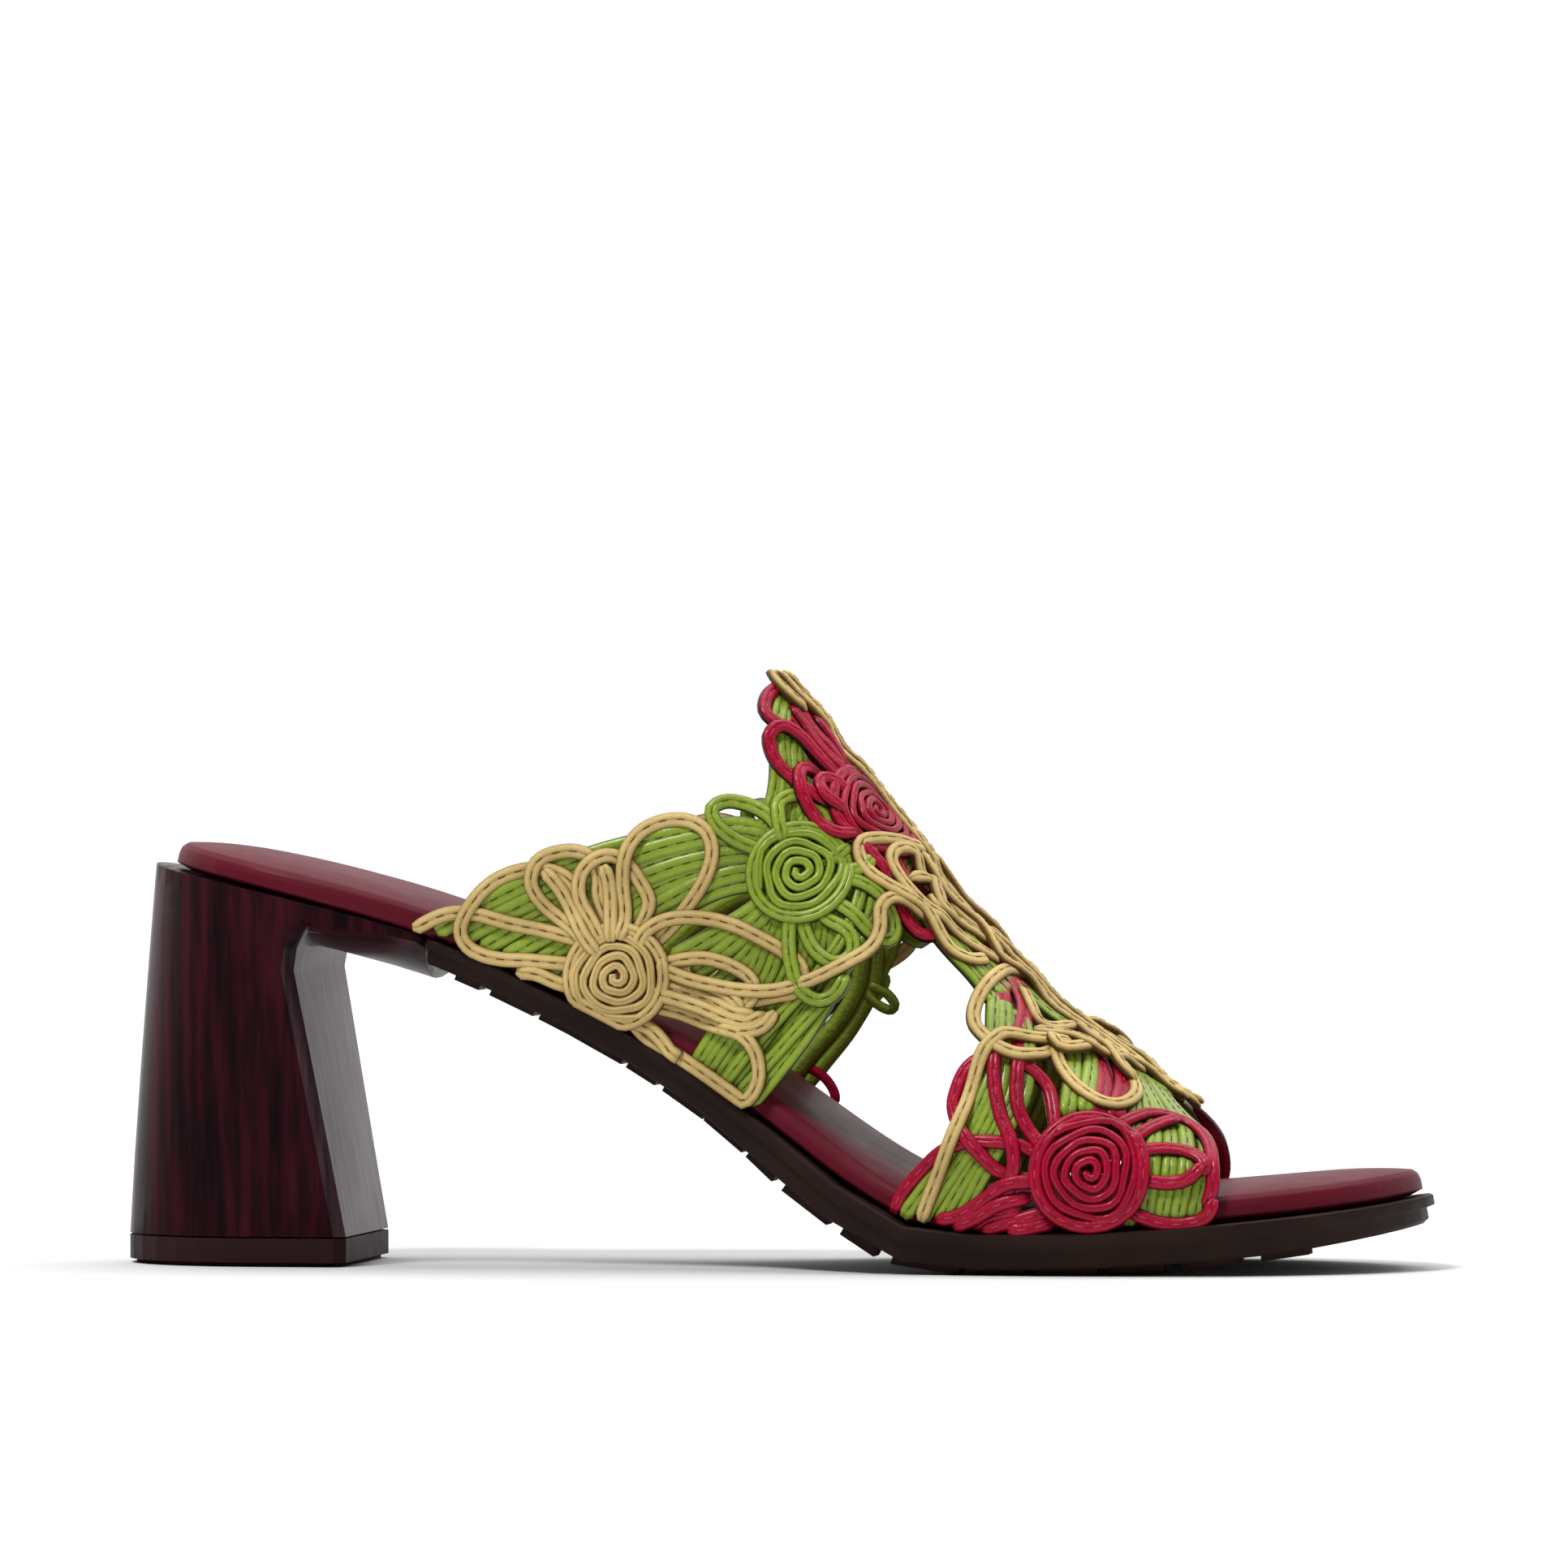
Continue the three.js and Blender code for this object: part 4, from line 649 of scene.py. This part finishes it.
def ramp(tree, factor, stops):
    """Colours by a factor: place and 0-255 colour of each stop."""
    node = add(tree, "ValToRGB")
    while len(node.color_ramp.elements) < len(stops):
        node.color_ramp.elements.new(0.5)
    for element, (place, colour) in zip(node.color_ramp.elements, stops):
        element.position = place
        element.color = linear(*colour)
    tree.links.new(factor, node.inputs["Fac"])
    return node.outputs["Color"]


def noise(tree, scale, detail=3.0, stretch=None, coords="Object", rough=0.5):
    """A noise in the object's metres or on its UV map, finer along the axes that are stretched more."""
    place = add(tree, "TexCoord").outputs[coords]
    if stretch:
        mapping = add(tree, "Mapping")
        mapping.inputs["Scale"].default_value = stretch
        tree.links.new(place, mapping.inputs["Vector"])
        place = mapping.outputs["Vector"]
    node = add(tree, "TexNoise", Scale=scale, Detail=detail, Roughness=rough)
    tree.links.new(place, node.inputs["Vector"])
    return node.outputs["Fac"]


def scaled(tree, value, low, high):
    """A value from 0 to 1 brought between two others."""
    node = add(tree, "MapRange")
    node.inputs["To Min"].default_value = low
    node.inputs["To Max"].default_value = high
    tree.links.new(value, node.inputs["Value"])
    return node.outputs["Result"]


def bump(tree, shader, height, strength, distance, previous=None):
    """Relief of the shader's surface, on top of the relief before it."""
    node = add(tree, "Bump", Strength=strength, Distance=distance)
    tree.links.new(height, node.inputs["Height"])
    if previous:
        tree.links.new(previous, node.inputs["Normal"])
    tree.links.new(node.outputs["Normal"], shader.inputs["Normal"])
    return node.outputs["Normal"]


def mixed(tree, mode, factor, first, second):
    """Two colours in one, by a number or by the output of a node."""
    node = add(tree, "Mix", data_type="RGBA", blend_type=mode)
    if isinstance(factor, float):
        node.inputs["Factor"].default_value = factor
    else:
        tree.links.new(factor, node.inputs["Factor"])
    colours = [socket for socket in node.inputs if socket.type == "RGBA"]
    tree.links.new(first, colours[0])
    tree.links.new(second, colours[1])
    return [socket for socket in node.outputs if socket.type == "RGBA"][0]


def cord_leather(name, light, body, painted_edge_shade, rough, coat, shine_level=0.25):
    """Rolled leather cord: painted shade along its edges and down its stitched groove, a painted highlight on
    its crowns, creases across, fine grain.
    """
    material, tree, shader = nodes_of(name)
    uv = add(tree, "UVMap")
    parts = add(tree, "SeparateXYZ")
    tree.links.new(uv.outputs["UV"], parts.inputs["Vector"])
    # Painted shade: the darkest colour runs along both edges, where the cord meets what lies under it, and a
    # darker line runs down the stitched groove. The lighter stops on the crowns are a painted highlight.
    line = tuple(int(0.55 * a + 0.45 * b) for a, b in zip(body, painted_edge_shade))
    across = ramp(tree, parts.outputs["Y"], [
        (0.0, painted_edge_shade), (0.07, body), (0.25, light), (0.47, body), (0.5, line), (0.53, body), (0.75, light),
        (0.94, body), (1.0, painted_edge_shade)])
    patches = ramp(tree, noise(tree, 90.0, 4.0), [(0.3, (196, 190, 182)), (0.7, (255, 255, 255))])
    colour = mixed(tree, "MULTIPLY", 0.75, across, patches)
    tree.links.new(colour, shader.inputs["Base Color"])
    tree.links.new(scaled(tree, noise(tree, 400.0), rough - 0.08, rough + 0.14), shader.inputs["Roughness"])
    shader.inputs["Coat Weight"].default_value = coat
    shader.inputs["Coat Roughness"].default_value = 0.15
    shader.inputs["Specular IOR Level"].default_value = shine_level
    creases = noise(tree, 9.0, 3.0, (1.0, 0.25, 1.0), "UV")
    first = bump(tree, shader, creases, 0.5, 0.0006)
    bump(tree, shader, noise(tree, 2600.0, 2.0), 0.25, 0.0002, first)
    return material


def grained(name, dark, body, light, rough=0.5, coat=0.0, grain=900.0, shine_level=0.2):
    """Leather or rubber: soft patches of colour, slow swells and a fine grain."""
    material, tree, shader = nodes_of(name)
    shader.inputs["Specular IOR Level"].default_value = shine_level
    colour = ramp(tree, noise(tree, 45.0, 5.0), [(0.25, dark), (0.5, body), (0.8, light)])
    tree.links.new(colour, shader.inputs["Base Color"])
    tree.links.new(scaled(tree, noise(tree, 160.0), rough - 0.06, rough + 0.12), shader.inputs["Roughness"])
    shader.inputs["Coat Weight"].default_value = coat
    shader.inputs["Coat Roughness"].default_value = 0.22
    first = bump(tree, shader, noise(tree, 60.0, 3.0, (1.0, 2.2, 2.2)), 0.25, 0.0008)
    bump(tree, shader, noise(tree, grain, 3.0), 0.3, 0.0002, first)
    return material


def streaked_wood():
    """The heel's wrap: dark upright streaks, and a painted reflection of the bright room, a paler grey
    streaked tone, on faces that look forward.
    """
    material, tree, shader = nodes_of("heel_wrap")
    streaks = noise(tree, 1.0, 4.0, (420.0, 420.0, 26.0), rough=0.62)
    bands = noise(tree, 1.0, 2.0, (60.0, 60.0, 9.0))
    colour = ramp(tree, streaks, [
        (0.34, (18, 5, 9)), (0.45, (34, 8, 15)), (0.56, (52, 12, 21)), (0.75, (66, 18, 30))])
    shade = ramp(tree, bands, [(0.3, (150, 140, 140)), (0.62, (255, 255, 255))])
    wrap = mixed(tree, "MULTIPLY", 0.8, colour, shade)
    # Painted reflection: a paler grey streaked tone that stands in for the bright room mirrored in the glossy
    # breast.
    painted_breast_reflection = ramp(tree, streaks, [(0.3, (70, 56, 62)), (0.5, (94, 81, 87)), (0.72, (122, 110, 116))])
    facing = add(tree, "SeparateXYZ")
    tree.links.new(add(tree, "NewGeometry").outputs["True Normal"], facing.inputs["Vector"])
    # Mask of the painted reflection: faces whose normal points forward along X.
    painted_reflection_mask = add(tree, "MapRange", interpolation_type="SMOOTHSTEP")
    painted_reflection_mask.inputs["From Min"].default_value = 0.62
    painted_reflection_mask.inputs["From Max"].default_value = 0.86
    tree.links.new(facing.outputs["X"], painted_reflection_mask.inputs["Value"])
    tree.links.new(mixed(tree, "MIX", painted_reflection_mask.outputs["Result"], wrap, painted_breast_reflection), shader.inputs["Base Color"])
    shader.inputs["Roughness"].default_value = 0.32
    shader.inputs["Specular IOR Level"].default_value = 0.05
    bump(tree, shader, streaks, 0.15, 0.0002)
    return material


# For each cord the first colour is a painted highlight on its crowns and the third is a painted shade along
# its edges.
FINISHES = {
    "cream": cord_leather("cream_cord", (226, 199, 134), (200, 171, 104), (98, 71, 30), 0.55, 0.0),
    "green": cord_leather("green_cord", (154, 178, 58), (134, 158, 44), (36, 50, 2), 0.36, 0.28, 0.2),
    "pink": cord_leather("pink_cord", (184, 8, 58), (158, 0, 40), (58, 0, 12), 0.38, 0.2, 0.14),
    # The cream thread's dark browns are painted shade of the needle holes along the stitches.
    "cream_thread": grained("cream_thread", (64, 44, 21), (92, 64, 30), (110, 76, 36), 0.6),
    "green_thread": grained("green_thread", (44, 56, 12), (64, 80, 18), (76, 96, 21), 0.6),
    "pink_thread": grained("pink_thread", (131, 43, 64), (188, 62, 92), (225, 74, 110), 0.6),
}
FOOTBED = grained("footbed_leather", (84, 10, 27), (90, 12, 30), (97, 15, 34), coat=0.04, shine_level=0.12)
RUBBER = grained("outsole_rubber", (26, 15, 12), (38, 24, 20), (50, 33, 27), grain=1400.0, shine_level=0.1)
LIFT_RUBBER = grained("lift_rubber", (34, 17, 18), (42, 22, 23), (52, 28, 29), grain=1400.0, shine_level=0.08)
HEEL_WRAP = streaked_wood()


# Pieces

def cord_piece(name, points, faces, uvs, material):
    """One piece with all cords, or all stitches, of a colour."""
    mesh = bpy.data.meshes.new(name)
    mesh.from_pydata(((np.vstack(points) + SHIFT) / 1000).tolist(), [], faces)
    mesh.polygons.foreach_set("use_smooth", [True] * len(mesh.polygons))
    layer = mesh.uv_layers.new(name="UVMap")
    corner = np.zeros(len(mesh.loops), dtype=np.int32)
    mesh.loops.foreach_get("vertex_index", corner)
    layer.data.foreach_set("uv", np.vstack(uvs)[corner].astype(np.float32).ravel())
    mesh.materials.append(material)
    mesh.update()
    piece = bpy.data.objects.new(name, mesh)
    bpy.context.scene.collection.objects.link(piece)
    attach(piece, "root")
    return piece


for colour, mesh in upper.meshes.items():
    piece = cord_piece("upper_" + colour, mesh["points"], mesh["faces"], mesh["uvs"], FINISHES[colour])
    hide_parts("upper")


# A subdivision keeps edges that turn by more than this angle in degrees, and softens those that turn by
# more than a quarter of it by this crease
SHARP_ANGLE = 55.0
SOFT_CREASE = 0.8


def tighten(mesh):
    """Creases the edges of a mesh by how sharp they are, so that a subdivision keeps its shape."""
    normals = {}
    for face in mesh.polygons:
        for key in face.edge_keys:
            normals.setdefault(key, []).append(face.normal.copy())
    crease = mesh.attributes.new("crease_edge", "FLOAT", "EDGE")
    for edge, value in zip(mesh.edges, crease.data):
        sides = normals.get(tuple(sorted(edge.vertices)), [])
        turn = math.degrees(sides[0].angle(sides[1], 0.0)) if len(sides) == 2 else 0.0
        if turn > SHARP_ANGLE:
            value.value = 1.0
        elif turn > SHARP_ANGLE / 4:
            value.value = SOFT_CREASE


def dressed(node, material, levels=0, angle=35.0):
    """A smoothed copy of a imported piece.

    With levels it is subdivided. Without, its broad faces look flat beside their rounded edges.
    """
    bpy.ops.object.select_all(action="DESELECT")
    source = bpy.data.objects[node]
    piece = bpy.data.objects.new(node + "_surface", source.data.copy())
    bpy.context.scene.collection.objects.link(piece)
    piece.data.materials.clear()
    piece.data.materials.append(material)
    piece.select_set(True)
    bpy.context.view_layer.objects.active = piece
    bpy.ops.object.mode_set(mode="EDIT")
    bpy.ops.mesh.select_all(action="SELECT")
    bpy.ops.mesh.remove_doubles(threshold=0.00001)
    if levels:
        bpy.ops.mesh.tris_convert_to_quads(
            face_threshold=math.radians(50), shape_threshold=math.radians(60))
    bpy.ops.object.mode_set(mode="OBJECT")
    if levels:
        tighten(piece.data)
        smooth = piece.modifiers.new("round", "SUBSURF")
        smooth.levels = smooth.render_levels = levels
        bpy.ops.object.modifier_apply(modifier=smooth.name)
    bpy.ops.object.shade_smooth_by_angle(angle=math.radians(angle))
    if not levels:
        broad = piece.modifiers.new("broad_faces", "WEIGHTED_NORMAL")
        broad.weight = 100
        broad.keep_sharp = True
        bpy.ops.object.modifier_apply(modifier=broad.name)
    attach(piece, "root")
    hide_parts(node)
    return piece


dressed("footbed", FOOTBED, levels=2, angle=60)
dressed("outsole", RUBBER)
dressed("heel_block", HEEL_WRAP, angle=30)
dressed("heel_lift", LIFT_RUBBER, angle=20)


# Studio

# Side of the paper under the shoe in metres
PAPER_SIZE = 30.0

# Radiance of the studio's walls behind the camera and behind the shoe
WORLD_DARK = 0.14
WORLD_BRIGHT = 1.1

# Sun lamps: name, direction that they shine from, width in degrees, strength
SUNS = [
    ("key_light", (-0.4, -0.75, 1.3), 14.0, 2.1),
    ("top_light", (0.2, 0.3, 1.6), 50.0, 1.5),
]

# The photo's camera: its frame and focal length in pixels, a sensor's width in millimetres, its turn
# towards the toe in degrees, its distance and height in metres, and the place it looks at in
# millimetres from the footbed's heel end
FRAME_PIXELS = 1932
FOCAL_PIXELS = 13500
SENSOR = 36
CAMERA_TURN = 8.5
CAMERA_DISTANCE = 2.0
CAMERA_HEIGHT = 0.0878
AIM = 112.8


def lay_floor():
    """Plain white paper."""
    bpy.ops.object.select_all(action="DESELECT")
    bpy.ops.mesh.primitive_plane_add(size=PAPER_SIZE, location=(0, 0, 0))
    floor = bpy.context.active_object
    floor.name = "studio_floor"
    material, tree, shader = nodes_of("floor_paper")
    colour = ramp(tree, noise(tree, 3.0), [(0.3, (217, 217, 217)), (0.7, (219, 219, 219))])
    tree.links.new(colour, shader.inputs["Base Color"])
    shader.inputs["Roughness"].default_value = 1.0
    shader.inputs["Specular IOR Level"].default_value = 0.0
    floor.data.materials.append(material)


def light_studio():
    """A white room that is darker behind the camera, and two soft suns."""
    world = bpy.data.worlds.new("studio")
    bpy.context.scene.world = world
    world.use_nodes = True
    tree = world.node_tree
    back = tree.nodes["Background"]
    parts = add(tree, "SeparateXYZ")
    tree.links.new(add(tree, "TexCoord").outputs["Generated"], parts.inputs["Vector"])
    level = add(tree, "MapRange", interpolation_type="SMOOTHSTEP")
    level.inputs["From Min"].default_value = -0.5
    level.inputs["From Max"].default_value = 0.6
    level.inputs["To Min"].default_value = WORLD_DARK
    level.inputs["To Max"].default_value = WORLD_BRIGHT
    tree.links.new(parts.outputs["Y"], level.inputs["Value"])
    tree.links.new(level.outputs["Result"], back.inputs["Strength"])
    back.inputs["Color"].default_value = (1.0, 1.0, 1.0, 1.0)
    for name, way, angle, power in SUNS:
        light = bpy.data.lights.new(name, "SUN")
        light.angle = math.radians(angle)
        light.energy = power
        lamp = bpy.data.objects.new(name, light)
        bpy.context.scene.collection.objects.link(lamp)
        lamp.location = way
        tip = math.acos(way[2] / math.hypot(*way))
        lamp.rotation_euler = (tip, 0, math.atan2(way[1], way[0]) + math.pi / 2)
    bpy.context.scene.view_settings.view_transform = "Standard"


def place_camera():
    """The camera at the photo's place, level with the middle of the shoe."""
    camera = bpy.data.cameras.new("photo_camera")
    camera.lens = FOCAL_PIXELS / FRAME_PIXELS * SENSOR
    camera.sensor_width = SENSOR
    holder = bpy.data.objects.new("photo_camera", camera)
    bpy.context.scene.collection.objects.link(holder)
    turn = math.radians(CAMERA_TURN)
    forward = (AIM + HEEL_END) / 1000 + CAMERA_DISTANCE * math.sin(turn)
    aside = MIDDLE / 1000 - CAMERA_DISTANCE * math.cos(turn)
    holder.location = (forward, aside, CAMERA_HEIGHT)
    holder.rotation_euler = (math.pi / 2, 0, turn)
    bpy.context.scene.camera = holder


lay_floor()
light_studio()
place_camera()
